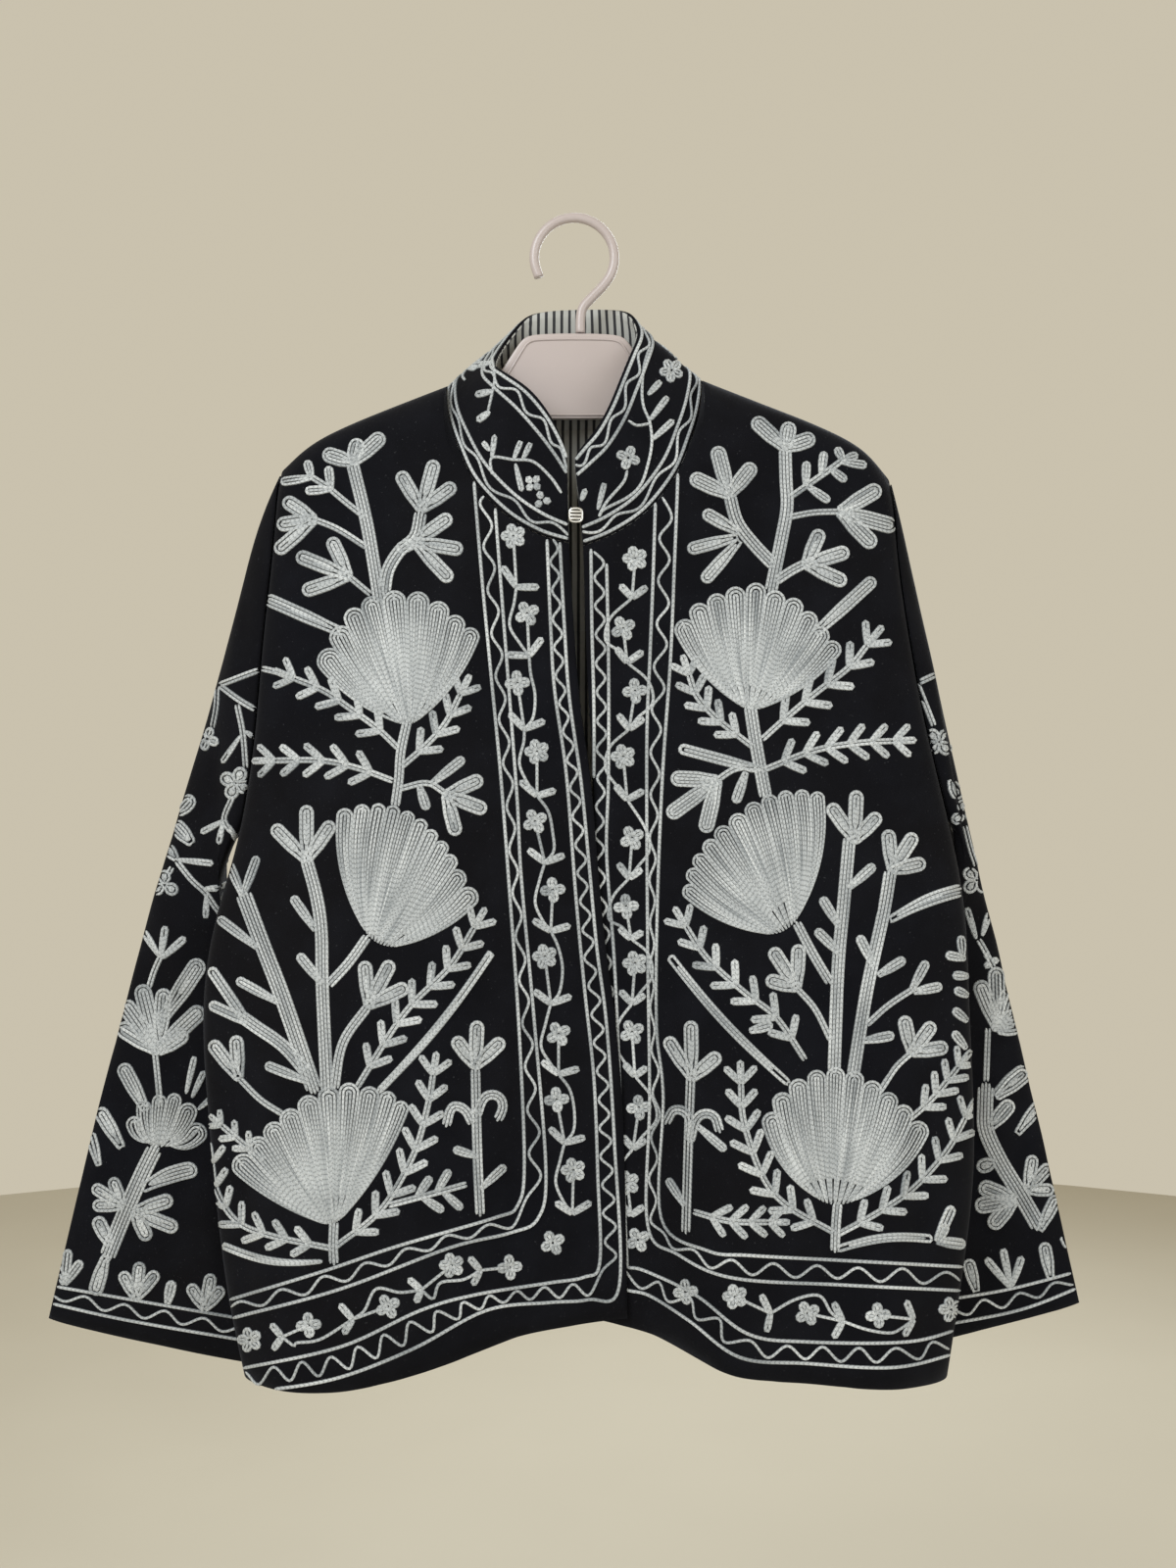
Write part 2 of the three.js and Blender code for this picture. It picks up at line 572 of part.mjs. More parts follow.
function closureHook() {
  const outline = new THREE.Shape();
  const { width, height, thickness } = CLOSURE;
  const round = height / 2;
  const reach = width / 2 - round;
  outline.moveTo(-reach, -round);
  outline.lineTo(reach, -round);
  outline.absarc(reach, 0, round, -Math.PI / 2, Math.PI / 2, false);
  outline.lineTo(-reach, round);
  outline.absarc(-reach, 0, round, Math.PI / 2, 3 * Math.PI / 2, false);
  const geometry = new THREE.ExtrudeGeometry(outline, {
    depth: thickness, bevelEnabled: false, curveSegments: 8 });
  geometry.rotateX(Math.PI / 2);
  geometry.translate(CLOSURE.x, CLOSURE.y, CLOSURE.z);
  return geometry;
}

// ---- Hanger ----
const HOOK_SIDES = 10;
const HOOK_STEPS = 44;
const HOOK_START = 209;
const HOOK_END = -45;
const HOOK_ARC_POINTS = 12;
const HOOK_STEM = [
  { x: 12.5, z: -53.5 },
  { x: 5.6, z: -61.5 },
  { x: 4.4, z: -70 },
  { x: 4.4, z: -79 },
];

function hangerHook() {
  const radius = HOOK_INNER_RADIUS + HOOK_BAR / 2;
  const points = [];
  for (let i = 0; i <= HOOK_ARC_POINTS; i += 1) {
    const angle = THREE.MathUtils.degToRad(mix(HOOK_START, HOOK_END, i / HOOK_ARC_POINTS));
    const rise = radius * Math.sin(angle) - HOOK_INNER_RADIUS;
    points.push(new THREE.Vector3(radius * Math.cos(angle), 0, rise));
  }
  for (const { x, z } of HOOK_STEM) points.push(new THREE.Vector3(x, 0, z));
  const section = new THREE.Shape();
  section.absarc(0, 0, HOOK_BAR / 2, 0, 2 * Math.PI, false);
  const extrudePath = new THREE.CatmullRomCurve3(points, false, 'centripetal');
  return new THREE.ExtrudeGeometry(section, {
    steps: HOOK_STEPS, extrudePath, curveSegments: HOOK_SIDES, bevelEnabled: false });
}

// Outline of the moulded plate with its two arms, seen from the front.
const PLATE_EDGE = [
  { x: 30, z: -79.3 },
  { x: 38, z: -83 },
  { x: 50, z: -104 },
  { x: 64, z: -120 },
  { x: 84, z: -129 },
];

function hangerOutline() {
  const arm = (side) => {
    const rows = FRONTS[side].shoulder;
    const sign = Math.sign(rows[0].x);
    const tops = PLATE_EDGE.map(({ x, z }) => new THREE.Vector2(sign * x, z));
    const feet = [];
    for (const share of [0, 0.25, 0.5, 0.75, 1]) {
      const x = sign * mix(HANGER_ARM_START, HANGER_ARM_END, share);
      const z = read(rows, 'x', 'z', x) - CLOTH_OVER_ARM;
      tops.push(new THREE.Vector2(x, z));
      feet.push(new THREE.Vector2(x, z - HANGER_ARM_HEIGHT));
    }
    const noseHeight = feet.at(-1).y + HANGER_ARM_HEIGHT / 2 - HANGER_ARM_NOSE_DROP;
    const nose = new THREE.Vector2(sign * (HANGER_ARM_END + HANGER_ARM_NOSE), noseHeight);
    const corner = new THREE.Vector2(sign * HANGER_PLATE_FOOT_HALF_WIDTH, HANGER_PLATE_FOOT);
    return [...tops, nose, ...feet.reverse(), corner];
  };
  return [...arm('left'), ...arm('right').reverse()];
}

function hangerBody() {
  const outline = new THREE.Shape(hangerOutline());
  const geometry = new THREE.ExtrudeGeometry(outline, {
    depth: HANGER_THICKNESS - 2 * HANGER_EDGE_ROUND, bevelEnabled: true, bevelThickness: HANGER_EDGE_ROUND,
    bevelSize: HANGER_EDGE_ROUND, bevelOffset: -HANGER_EDGE_ROUND, bevelSegments: 2, curveSegments: 4 });
  geometry.rotateX(Math.PI / 2);
  geometry.translate(0, HANGER_THICKNESS / 2 - HANGER_EDGE_ROUND, 0);
  return geometry;
}

// ---- The whole object ----
function piece(name, geometry, finish) {
  const mesh = new THREE.Mesh(geometry, new THREE.MeshStandardMaterial(finish));
  mesh.name = name;
  return mesh;
}

const jacket = new THREE.Group();
jacket.add(
  piece('back', backPanel(), BLACK_CLOTH),
  piece('right_front', frontPanel('right'), BLACK_CLOTH),
  piece('left_front', frontPanel('left'), BLACK_CLOTH),
  piece('right_sleeve', sleeve('right', RIGHT_SLEEVE), BLACK_CLOTH),
  piece('left_sleeve', sleeve('left', LEFT_SLEEVE), BLACK_CLOTH),
  piece('collar', collar(), BLACK_CLOTH),
  piece('collar_lining', collarLining(), STRIPED_LINING),
  piece('neck_lining', neckLining(), STRIPED_LINING),
  piece('closure_hook', closureHook(), BRIGHT_METAL),
  piece('hanger_hook', hangerHook(), HANGER_PLASTIC),
  piece('hanger_body', hangerBody(), HANGER_PLASTIC),
);

export default jacket;
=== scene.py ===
import bpy, bmesh, math, random
import numpy as np
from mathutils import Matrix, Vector, noise
from mathutils.bvhtree import BVHTree


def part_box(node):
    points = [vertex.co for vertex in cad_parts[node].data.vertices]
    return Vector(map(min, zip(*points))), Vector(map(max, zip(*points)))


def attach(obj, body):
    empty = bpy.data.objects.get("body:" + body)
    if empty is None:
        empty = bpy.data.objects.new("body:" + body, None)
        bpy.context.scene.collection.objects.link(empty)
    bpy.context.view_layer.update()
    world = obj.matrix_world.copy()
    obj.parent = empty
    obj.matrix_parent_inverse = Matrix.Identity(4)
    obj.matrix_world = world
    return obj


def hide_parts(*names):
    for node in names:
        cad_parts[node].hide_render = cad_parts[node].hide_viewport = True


# Suzani jacket on a plastic hanger. Metres, +Z up, front towards -Y, origin in the hook's inner top.
# "right" and "left" are the wearer's own. Chart steps are 0.7 mm, counted right and down.

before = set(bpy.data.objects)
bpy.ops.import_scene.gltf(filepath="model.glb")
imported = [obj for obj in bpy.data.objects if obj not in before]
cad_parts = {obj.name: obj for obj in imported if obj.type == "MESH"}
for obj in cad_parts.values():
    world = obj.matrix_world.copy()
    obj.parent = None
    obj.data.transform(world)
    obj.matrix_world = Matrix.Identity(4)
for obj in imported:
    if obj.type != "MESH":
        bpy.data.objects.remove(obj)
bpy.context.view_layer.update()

MM = 0.001
STEP = 0.7 * MM
HOOK_ACROSS, HOOK_DOWN = 586, 227
EYE_HEIGHT = -0.401
EYE_ACROSS = 0.0098
EYE_REACH = 1.2
FRONT_EYE = Vector((EYE_ACROSS, -EYE_REACH, EYE_HEIGHT))
BACK_EYE = Vector((EYE_ACROSS, EYE_REACH, EYE_HEIGHT))

ROW = 2.5 * MM
BORDER_ROW = 2.7 * MM
STITCH_STEP = 1.9 * MM
BACK_STITCH_STEP = 2.7 * MM
THREAD_RISE = 0.8 * MM
THREAD_SINK = 0.12 * MM
LOOSE_LIFT = 0.32
TIGHT_RUN = 45 * MM
SIGHT_JUMP = 9 * MM
LINK_LENGTH = 0.0034
STRIPE_BEAT = 0.0057
SEAM_GAP = 0.3 * MM
FREE_ROOM = 0.03
ROOM_SHARE = 0.6
BOX_SPARE = 4 * MM
FLOOR_HEIGHT = -1.35
FRAME_WIDTH = 1.12
COLLAR_STEP = 24.0

# ---- Creases: from x, z to x, z in mm, half width, push in mm (+ is towards the back), bow ----
RIGHT_FRONT_CREASES = [
    (-206, -232, -150, -318, 10, 2.2, 6), (-210, -262, -168, -372, 9, -2.0, 8), (-214, -300, -180, -440, 8, 2.0, -5),
    (-228, -430, -176, -492, 10, 2.6, 7), (-236, -452, -158, -548, 9, -2.2, 9), (-244, -500, -182, -590, 11, 2.4, 6),
    (-150, -165, -120, -262, 12, 1.6, -6), (-104, -150, -92, -250, 9, -1.4, 4), (-60, -236, -66, -372, 9, 1.5, 5),
    (-128, -340, -146, -560, 13, 2.0, 10), (-90, -420, -98, -640, 12, -2.0, -9), (-48, -380, -58, -610, 9, 1.7, 7),
    (-18, -300, -16, -470, 7, -1.2, 3), (-196, -560, -210, -760, 12, -2.6, 8), (-158, -600, -170, -800, 11, 2.6, -8),
    (-116, -560, -130, -806, 13, 2.4, 9), (-70, -600, -80, -786, 12, -2.3, -7), (-32, -560, -40, -776, 9, 2.0, 6),
    (-2, -520, -4, -770, 8, -1.4, 4), (-232, -620, -226, -800, 8, 2.0, -4), (-180, -690, -120, -712, 8, 1.1, 5),
]
LEFT_FRONT_CREASES = [
    (220, -240, 160, -330, 10, 2.2, -6), (228, -276, 178, -384, 9, -2.1, -8), (238, -330, 196, -452, 9, 2.2, 6),
    (262, -430, 192, -500, 11, 2.6, -7), (268, -462, 176, -560, 10, -2.3, -8), (272, -520, 200, -612, 11, 2.3, -6),
    (150, -160, 128, -270, 12, 1.6, 6), (108, -150, 96, -252, 9, -1.3, -5), (66, -240, 74, -390, 9, 1.6, -6),
    (136, -350, 148, -566, 13, 2.0, -9), (44, -410, 48, -630, 9, 1.9, -6), (84, -470, 88, -700, 11, -2.4, 8),
    (26, -330, 24, -500, 7, -1.2, -3), (206, -570, 214, -780, 12, -2.6, -8), (176, -600, 184, -804, 11, 2.5, 7),
    (128, -590, 132, -800, 12, 2.5, -8), (62, -600, 56, -780, 11, 2.2, 6), (240, -600, 242, -790, 10, 2.2, 5),
    (150, -660, 214, -690, 9, 1.2, 5), (100, -700, 96, -792, 9, -1.6, -4), (36, -620, 34, -776, 7, -1.5, 3),
]
BACK_CREASES = [
    (-206, -236, -120, -330, 12, -2.2, 8), (-216, -286, -140, -400, 10, 2.0, 9), (222, -240, 132, -340, 12, -2.2, -8),
    (236, -300, 150, -420, 10, 2.1, -9), (-110, -150, -70, -260, 14, -1.5, -6), (112, -150, 74, -262, 14, -1.6, 6),
    (-60, -170, 58, -176, 12, 1.3, 14), (-30, -240, -40, -520, 12, -2.0, 9), (24, -260, 34, -560, 13, 2.0, -8),
    (-90, -360, -104, -640, 13, 2.2, 9), (96, -350, 108, -640, 12, -2.2, -9), (-170, -470, -184, -780, 13, -2.4, 8),
    (-130, -560, -140, -800, 11, 2.2, -7), (-62, -560, -70, -796, 12, -2.3, 7), (-8, -580, -10, -792, 12, 2.4, -8),
    (50, -600, 52, -790, 11, -2.2, 6), (104, -600, 112, -800, 12, 2.3, -7), (160, -520, 170, -800, 13, -2.2, 8),
    (214, -540, 224, -800, 12, 2.2, -7), (-222, -520, -232, -790, 10, 2.0, 6), (-232, -440, -150, -520, 11, 2.3, 7),
    (262, -440, 170, -530, 11, 2.3, -7), (-20, -330, 90, -352, 10, 0.9, 9),
]
RIGHT_SLEEVE_CREASES = [
    (-222, -214, -236, -330, 10, 2.4, 5), (-240, -270, -268, -400, 10, -2.2, -6), (-262, -340, -244, -440, 12, 2.8, 6),
    (-292, -430, -248, -500, 11, 3.0, 7), (-306, -470, -262, -560, 11, -2.6, 8), (-312, -520, -266, -600, 12, 3.0, 7),
    (-330, -580, -270, -640, 12, -2.6, 7), (-338, -620, -292, -690, 11, 2.6, 6), (-300, -560, -330, -740, 12, -2.2, -7),
    (-270, -640, -290, -790, 11, 2.4, 6), (-248, -600, -262, -790, 10, -2.0, 5), (-352, -690, -310, -740, 10, 2.0, 5),
    (-236, -680, -238, -806, 9, 2.0, 4), (-336, -720, -352, -786, 9, -1.8, 4),
]
LEFT_SLEEVE_CREASES = [
    (236, -220, 252, -330, 10, 2.3, -5), (252, -280, 280, -410, 10, -2.2, 6), (276, -350, 290, -430, 9, 2.2, -5),
    (300, -450, 274, -520, 11, 2.9, -6), (312, -490, 276, -570, 10, -2.6, -7), (316, -540, 270, -610, 12, 2.9, -7),
    (326, -590, 278, -650, 11, -2.5, -6), (336, -630, 290, -700, 11, 2.6, -6), (300, -560, 322, -730, 12, -2.2, 7),
    (280, -640, 296, -780, 11, 2.3, -6), (256, -640, 256, -800, 9, -2.0, 4), (344, -680, 312, -740, 10, 2.0, -5),
    (236, -700, 232, -806, 9, 1.9, 4), (338, -700, 350, -776, 9, -1.8, 4),
]
COLLAR_CREASES = [
    (-76, -150, -34, -196, 9, 0.8, 6), (76, -146, 36, -200, 9, 0.8, -6), (-40, -150, -14, -206, 6, -0.6, 3),
    (30, -170, 20, -220, 6, -0.6, -3), (-62, -112, -30, -150, 6, 0.6, 3),
]
NECK_LINING_CREASES = [(-30, -130, -24, -240, 10, -0.3, 3), (22, -130, 28, -250, 9, -0.3, 3)]

# ---- Stand collar: seam and top edge in mm, from the right front end round the back ----
COLLAR_SEAM = [
    (-3.4, -50, -236), (-24, -49, -230), (-47, -44, -216), (-69, -36, -192), (-81, -26, -165), (-89, -13, -139),
    (-91, 0, -117), (-79, 12, -113), (-52, 21, -117), (-26, 24.5, -119), (0, 25, -120), (26, 24.5, -119),
    (52, 21, -116), (79, 12, -110), (91, 0, -113), (89, -13, -136), (82, -26, -160), (71, -36, -187),
    (50, -44, -214), (27, -49, -230), (6.5, -50, -238),
]
COLLAR_TOP = [
    (-4.5, -51, -176), (-10, -49, -160), (-19, -46, -143), (-32, -41, -127), (-48, -34, -115), (-57, -22, -106),
    (-53, -6, -92), (-44, 7, -75), (-33, 15, -62), (-17, 19, -58), (0, 20, -57), (18, 19, -57),
    (35, 14, -59), (44, 5, -67), (46, -8, -81), (40, -20, -98), (33, -31, -117), (25, -39, -138),
    (16, -45, -156), (7, -49, -168), (0.5, -51, -177),
]


# ---- Finishes ----
class Channel:
    """One shader value, so that a finish is written as sums and products."""

    def __init__(self, finish, socket):
        self.finish = finish
        self.socket = socket

    def _math(self, operation, *values):
        return self.finish.node("ShaderNodeMath", {"operation": operation}, dict(enumerate(values)))

    def __add__(self, other):
        return self._math("ADD", self, other)

    def __radd__(self, other):
        return self._math("ADD", other, self)

    def __sub__(self, other):
        return self._math("SUBTRACT", self, other)

    def __rsub__(self, other):
        return self._math("SUBTRACT", other, self)

    def __mul__(self, other):
        return self._math("MULTIPLY", self, other)

    def __rmul__(self, other):
        return self._math("MULTIPLY", other, self)

    def __abs__(self):
        return self._math("ABSOLUTE", self)

    def fract(self):
        return self._math("FRACT", self)

    def sine(self):
        return self._math("SINE", self)

    def least(self, other):
        return self._math("MINIMUM", self, other)

    def most(self, other):
        return self._math("MAXIMUM", self, other)

    def held(self):
        return self.least(1.0).most(0.0)


class Finish:
    """A material and the one way to add nodes to it."""

    def __init__(self, name, shown):
        self.material = bpy.data.materials.new(name)
        self.material.use_nodes = True
        self.material.diffuse_color = (*shown, 1)
        self.tree = self.material.node_tree
        self.tree.nodes.clear()

    def node(self, kind, settings=None, sockets=None, out=0):
        made = self.tree.nodes.new(kind)
        for key, value in (settings or {}).items():
            setattr(made, key, value)
        for key, value in (sockets or {}).items():
            if isinstance(value, Channel):
                self.tree.links.new(value.socket, made.inputs[key])
            else:
                made.inputs[key].default_value = value
        return Channel(self, made.outputs[out])

    def place(self):
        return self.node("ShaderNodeTexCoord", out="Object")

    def parts(self, vector):
        split = self.node("ShaderNodeSeparateXYZ", None, {0: vector})
        return [Channel(self, socket) for socket in split.socket.node.outputs]

    def cloud(self, vector, scale, detail=2.0, rough=0.5):
        sockets = {"Vector": vector, "Scale": scale, "Detail": detail, "Roughness": rough}
        return self.node("ShaderNodeTexNoise", None, sockets)

    def blend(self, share, first, second):
        return self.node("ShaderNodeMix", {"data_type": "RGBA"}, {0: share, 6: first, 7: second}, out=2)

    def bump(self, height, depth, strength=1.0):
        return self.node("ShaderNodeBump", None, {"Height": height, "Distance": depth, "Strength": strength})

    def surface(self, **sockets):
        names = {key.replace("_", " "): value for key, value in sockets.items()}
        body = self.node("ShaderNodeBsdfPrincipled", None, names)
        end = self.tree.nodes.new("ShaderNodeOutputMaterial")
        self.tree.links.new(body.socket, end.inputs[0])
        return self.material


def black_cloth():
    f = Finish("black_cotton", (0.02, 0.02, 0.025))
    at = f.place()
    x, _, z = f.parts(at)
    weave = ((x * 5200).sine() * (z * 5200).sine()) * 0.5 + 0.5
    nap = f.cloud(at, 900, 3)
    rub = f.cloud(at, 26, 4, 0.6)
    patch = f.cloud(at, 7, 2)
    lint = (f.cloud(at, 620, 1) - 0.71).most(0.0) * 3.0
    deep = f.blend(patch, (0.0022, 0.0026, 0.0048, 1), (0.0044, 0.0038, 0.0042, 1))
    worn = f.blend((rub - 0.42).held() * 1.2, deep, (0.010, 0.0105, 0.014, 1))
    colour = f.blend(lint.held(), worn, (0.07, 0.07, 0.075, 1))
    height = weave * 0.35 + nap * 0.5 + rub * 0.3
    return f.surface(Base_Color=colour, Roughness=0.82 + rub * 0.15, Normal=f.bump(height, 0.00045, 0.8),
                     Sheen_Weight=0.07, Sheen_Roughness=0.35, Sheen_Tint=(0.66, 0.68, 0.80, 1),
                     Specular_IOR_Level=0.09)


def white_thread():
    f = Finish("white_chain_thread", (0.75, 0.75, 0.72))
    at = f.place()
    run = f.node("ShaderNodeUVMap", {"uv_map": "thread"})
    u, v, _ = f.parts(run)
    side = abs(v - 0.5) * 2
    vee = (u * (1 / LINK_LENGTH) - side * 0.55).fract()
    link = 1 - (vee.least(1 - vee) * 6.0).held()
    spine = 1 - (side * 3.2).held()
    edge = ((side - 0.45) * 1.9).held()
    # This height drives the bump, and also the painted shade in the thread's colour below.
    height = 1 - link * 0.42 - spine * 0.25 - edge * 0.95
    soiled = f.cloud(at, 34, 3)
    fibre = f.cloud(at, 2600, 2)
    row_place = f.node("ShaderNodeVectorMath", {"operation": "MULTIPLY"}, {0: run, 1: (15, 0, 0)})
    row_tone = (f.cloud(row_place, 1.0, 1) - 0.5) * 2.3
    light = f.blend((soiled * 0.7 + row_tone + 0.15).held(), (0.29, 0.305, 0.31, 1), (0.68, 0.69, 0.68, 1))
    # Painted shade: the thread's colour is pulled towards dark grey where the bump height is low, at each link's end,
    # along the chain's middle and at the row's edges, so the grooves between links and rows read darker. The fibre
    # noise adds a little random tone.
    shade = f.blend((height + fibre * 0.25 - 0.12).held(), (0.075, 0.085, 0.095, 1), light)
    return f.surface(Base_Color=shade, Roughness=0.78 + fibre * 0.1, Normal=f.bump(height + fibre * 0.3, 0.0007, 1.0),
                     Sheen_Weight=0.1, Specular_IOR_Level=0.2)


def striped_lining():
    f = Finish("striped_lining", (0.45, 0.43, 0.4))
    at = f.place()
    run = f.node("ShaderNodeAttribute", {"attribute_name": "stripe_run"}, out="Fac")
    z = f.parts(at)[2]
    wander = (f.cloud(at, 60, 2) - 0.5) * 0.00045
    beat = ((run + wander) * (1 / STRIPE_BEAT)).fract()
    dark = 1 - ((abs(beat - 0.5) - 0.165) * 22).held()
    threads = (run * 9000).sine() * (z * 9000).sine()
    tone = f.cloud(at, 45, 3)
    pale = f.blend(tone, (0.36, 0.355, 0.325, 1), (0.52, 0.51, 0.475, 1))
    colour = f.blend(dark, pale, (0.020, 0.019, 0.022, 1))
    return f.surface(Base_Color=colour, Roughness=0.85 - tone * 0.1, Sheen_Weight=0.1,
                     Normal=f.bump(threads * 0.5 + tone * 0.5, 0.0002, 0.6))


def hanger_plastic():
    f = Finish("satin_plastic", (0.66, 0.56, 0.53))
    at = f.place()
    flow = f.cloud(at, 16, 3)
    grain = f.cloud(at, 1500, 2)
    scuff = (f.cloud(at, 210, 5, 0.7) - 0.62).most(0.0) * 2.4
    colour = f.blend(flow, (0.40, 0.335, 0.315, 1), (0.47, 0.40, 0.375, 1))
    colour = f.blend(scuff.held() * 0.35, colour, (0.56, 0.51, 0.48, 1))
    return f.surface(Base_Color=colour, Roughness=0.26 + flow * 0.08 + scuff * 0.2,
                     Normal=f.bump(grain * 0.3 + flow * 0.4, 0.00005, 0.4), Specular_IOR_Level=0.5)


def bright_metal():
    f = Finish("nickel_wire", (0.72, 0.70, 0.66))
    at = f.place()
    tarnish = f.cloud(at, 240, 4)
    lines = f.cloud(at, 2400, 2)
    colour = f.blend(tarnish, (0.62, 0.60, 0.56, 1), (0.80, 0.79, 0.77, 1))
    return f.surface(Base_Color=colour, Metallic=1.0, Roughness=0.22 + tarnish * 0.2,
                     Normal=f.bump(lines * 0.5 + tarnish, 0.00015, 0.5))


def pale_floor():
    f = Finish("pale_floor", (0.8, 0.78, 0.74))
    at = f.place()
    tone = f.cloud(at, 3, 2)
    colour = f.blend(tone, (0.50, 0.46, 0.375, 1), (0.54, 0.50, 0.41, 1))
    return f.surface(Base_Color=colour, Roughness=0.7 + tone * 0.1)


CLOTH = black_cloth()
THREAD = white_thread()
LINING = striped_lining()
PLASTIC = hanger_plastic()
METAL = bright_metal()
FLOOR = pale_floor()


# ---- Shaping ----
def linked(name, data):
    made = bpy.data.objects.new(name, data)
    bpy.context.scene.collection.objects.link(made)
    return made


def evaluated_mesh(thing):
    return bpy.data.meshes.new_from_object(thing.evaluated_get(bpy.context.evaluated_depsgraph_get()))


def smoothed(mesh):
    for face in mesh.polygons:
        face.use_smooth = True


def rejoined(node):
    """A merged copy of a solid's faces, back in quads."""
    bm = bmesh.new()
    bm.from_mesh(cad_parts[node].data)
    bmesh.ops.remove_doubles(bm, verts=bm.verts, dist=1e-6)
    bmesh.ops.join_triangles(bm, faces=bm.faces, angle_face_threshold=1.2, angle_shape_threshold=3.14)
    return bm


def walls(bm, layer):
    """Groups of faces joined by soft edges, without the cut rims between them."""
    bm.normal_update()
    left = {face for face in bm.faces if sum(edge[layer] > 0 for edge in face.edges) < 2}
    groups = []
    while left:
        ahead = [left.pop()]
        group = []
        while ahead:
            face = ahead.pop()
            group.append(face)
            for edge in face.edges:
                if edge[layer] > 0:
                    continue
                for other in edge.link_faces:
                    if other in left:
                        left.remove(other)
                        ahead.append(other)
        groups.append(group)
    return groups


def finished_mesh(bm, name, levels, finishes, inner=None, cut_angle=0.8, hold=1.0):
    """Smooths by subdivision, with cut edges held so that seams still meet. An inner wall gets the second finish."""
    layer = bm.edges.layers.float.new("crease_edge")
    for edge in bm.edges:
        if len(edge.link_faces) == 2 and edge.calc_face_angle(0) > cut_angle:
            edge[layer] = hold
    for face in bm.faces:
        face.material_index = 0
    for wall in walls(bm, layer) if inner else ():
        facing = sum(face.calc_area() * face.normal.dot((inner(c) - c).normalized())
                     for face in wall for c in [face.calc_center_median()])
        for face in wall if facing > 0 else ():
            face.material_index = 1
    mesh = bpy.data.meshes.new(name)
    bm.to_mesh(mesh)
    bm.free()
    for finish in finishes:
        mesh.materials.append(finish)
    piece = linked(name, mesh)
    finer = piece.modifiers.new("finer", "SUBSURF")
    finer.levels = finer.render_levels = levels
    shaped = evaluated_mesh(piece)
    piece.modifiers.clear()
    piece.data = shaped
    shaped.name = name
    smoothed(shaped)
    return piece


def crease_push(points, table):
    """How far each point moves front to back, in metres, under a table of creases."""
    x = points[:, 0] / MM
    z = points[:, 2] / MM
    push = np.zeros(len(points))
    for x0, z0, x1, z1, half, depth, bow in table:
        length = math.hypot(x1 - x0, z1 - z0)
        dx, dz = (x1 - x0) / length, (z1 - z0) / length
        along = ((x - x0) * dx + (z - z0) * dz) / length
        held = np.clip(along, 0, 1)
        across = (x - x0) * dz - (z - z0) * dx - bow * np.sin(held * math.pi)
        beyond = (along - held) * length
        width = half * (0.65 + 0.6 * np.sin(held * math.pi))
        bell = np.exp(-((across / width) ** 2) * 1.9 - (beyond / half) ** 2)
        ends = 0.15 + 0.85 * np.sin(np.clip(held, 0.02, 0.98) * math.pi) ** 0.7
        push += depth * bell * ends
    return push * MM


def crumple(point, seed):
    """Small uneven relief of handled cloth."""
    low = noise.noise(Vector((point[0] * 16 + seed, point[1] * 8, point[2] * 11)))
    high = noise.noise(Vector((point[0] * 46 + seed, point[1] * 20, point[2] * 31)))
    return (low * 1.1 + high * 0.42) * MM


def settle(piece, node, table, seed, relief=1.0):
    """Creases a piece, and keeps it clear of every other solid."""
    mesh = piece.data
    points = np.empty(len(mesh.vertices) * 3)
    mesh.vertices.foreach_get("co", points)
    points = points.reshape(-1, 3)
    push = crease_push(points, table)
    corners, faces = [], []
    for other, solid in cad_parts.items():
        if other == node:
            continue
        first = len(corners)
        corners += [v.co.copy() for v in solid.data.vertices]
        faces += [[first + i for i in p.vertices] for p in solid.data.polygons]
    others = BVHTree.FromPolygons(corners, faces)
    for i, point in enumerate(points):
        want = push[i] + relief * crumple(point, seed)
        reach = others.find_nearest(Vector(point))[3]
        room = max(0.0, (FREE_ROOM if reach is None else reach) - SEAM_GAP) * ROOM_SHARE
        points[i, 1] += max(-room, min(room, want))
    low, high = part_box(node)
    points[:, 1] = np.clip(points[:, 1], low[1] - BOX_SPARE, high[1] + BOX_SPARE)
    mesh.vertices.foreach_set("co", points.ravel())
    mesh.update()


def mark_stripes(piece, run):
    """Gives every point its place across the lining's stripes."""
    places = piece.data.attributes.new("stripe_run", "FLOAT", "POINT")
    places.data.foreach_set("value", [run(v.co) for v in piece.data.vertices])


def straight_run(point):
    return point.x


def sleeve_run(point):
    return point.x * 0.93 + point.z * 0.36 * (1 if point.x < 0 else -1)


def curve_point(a, b, c, d, t):
    """A point from b to c on a soft curve through four."""
    return 0.5 * (2 * b + (c - a) * t + (2 * a - 5 * b + 4 * c - d) * t * t + (3 * b - a - 3 * c + d) * t ** 3)


def smooth_line(points, spacing):
    """Points along a soft curve through a few given ones, evenly spaced."""
    given = [Vector(p) for p in points]
    if len(given) == 2:
        dense = [given[0].lerp(given[1], i / 8) for i in range(9)]
    else:
        ends = [given[0] * 2 - given[1]] + given + [given[-1] * 2 - given[-2]]
        dense = []
        for four in zip(ends, ends[1:], ends[2:], ends[3:]):
            dense += [curve_point(*four, i / 8) for i in range(8)]
        dense.append(given[-1])
    spans = [(b - a).length for a, b in zip(dense, dense[1:])]
    total = sum(spans)
    count = max(2, round(total / spacing))
    made, i, gone = [dense[0]], 0, 0.0
    for k in range(1, count):
        want = total * k / count
        while gone + spans[i] < want:
            gone += spans[i]
            i += 1
        made.append(dense[i].lerp(dense[i + 1], (want - gone) / max(spans[i], 1e-9)))
    made.append(dense[-1])
    return made


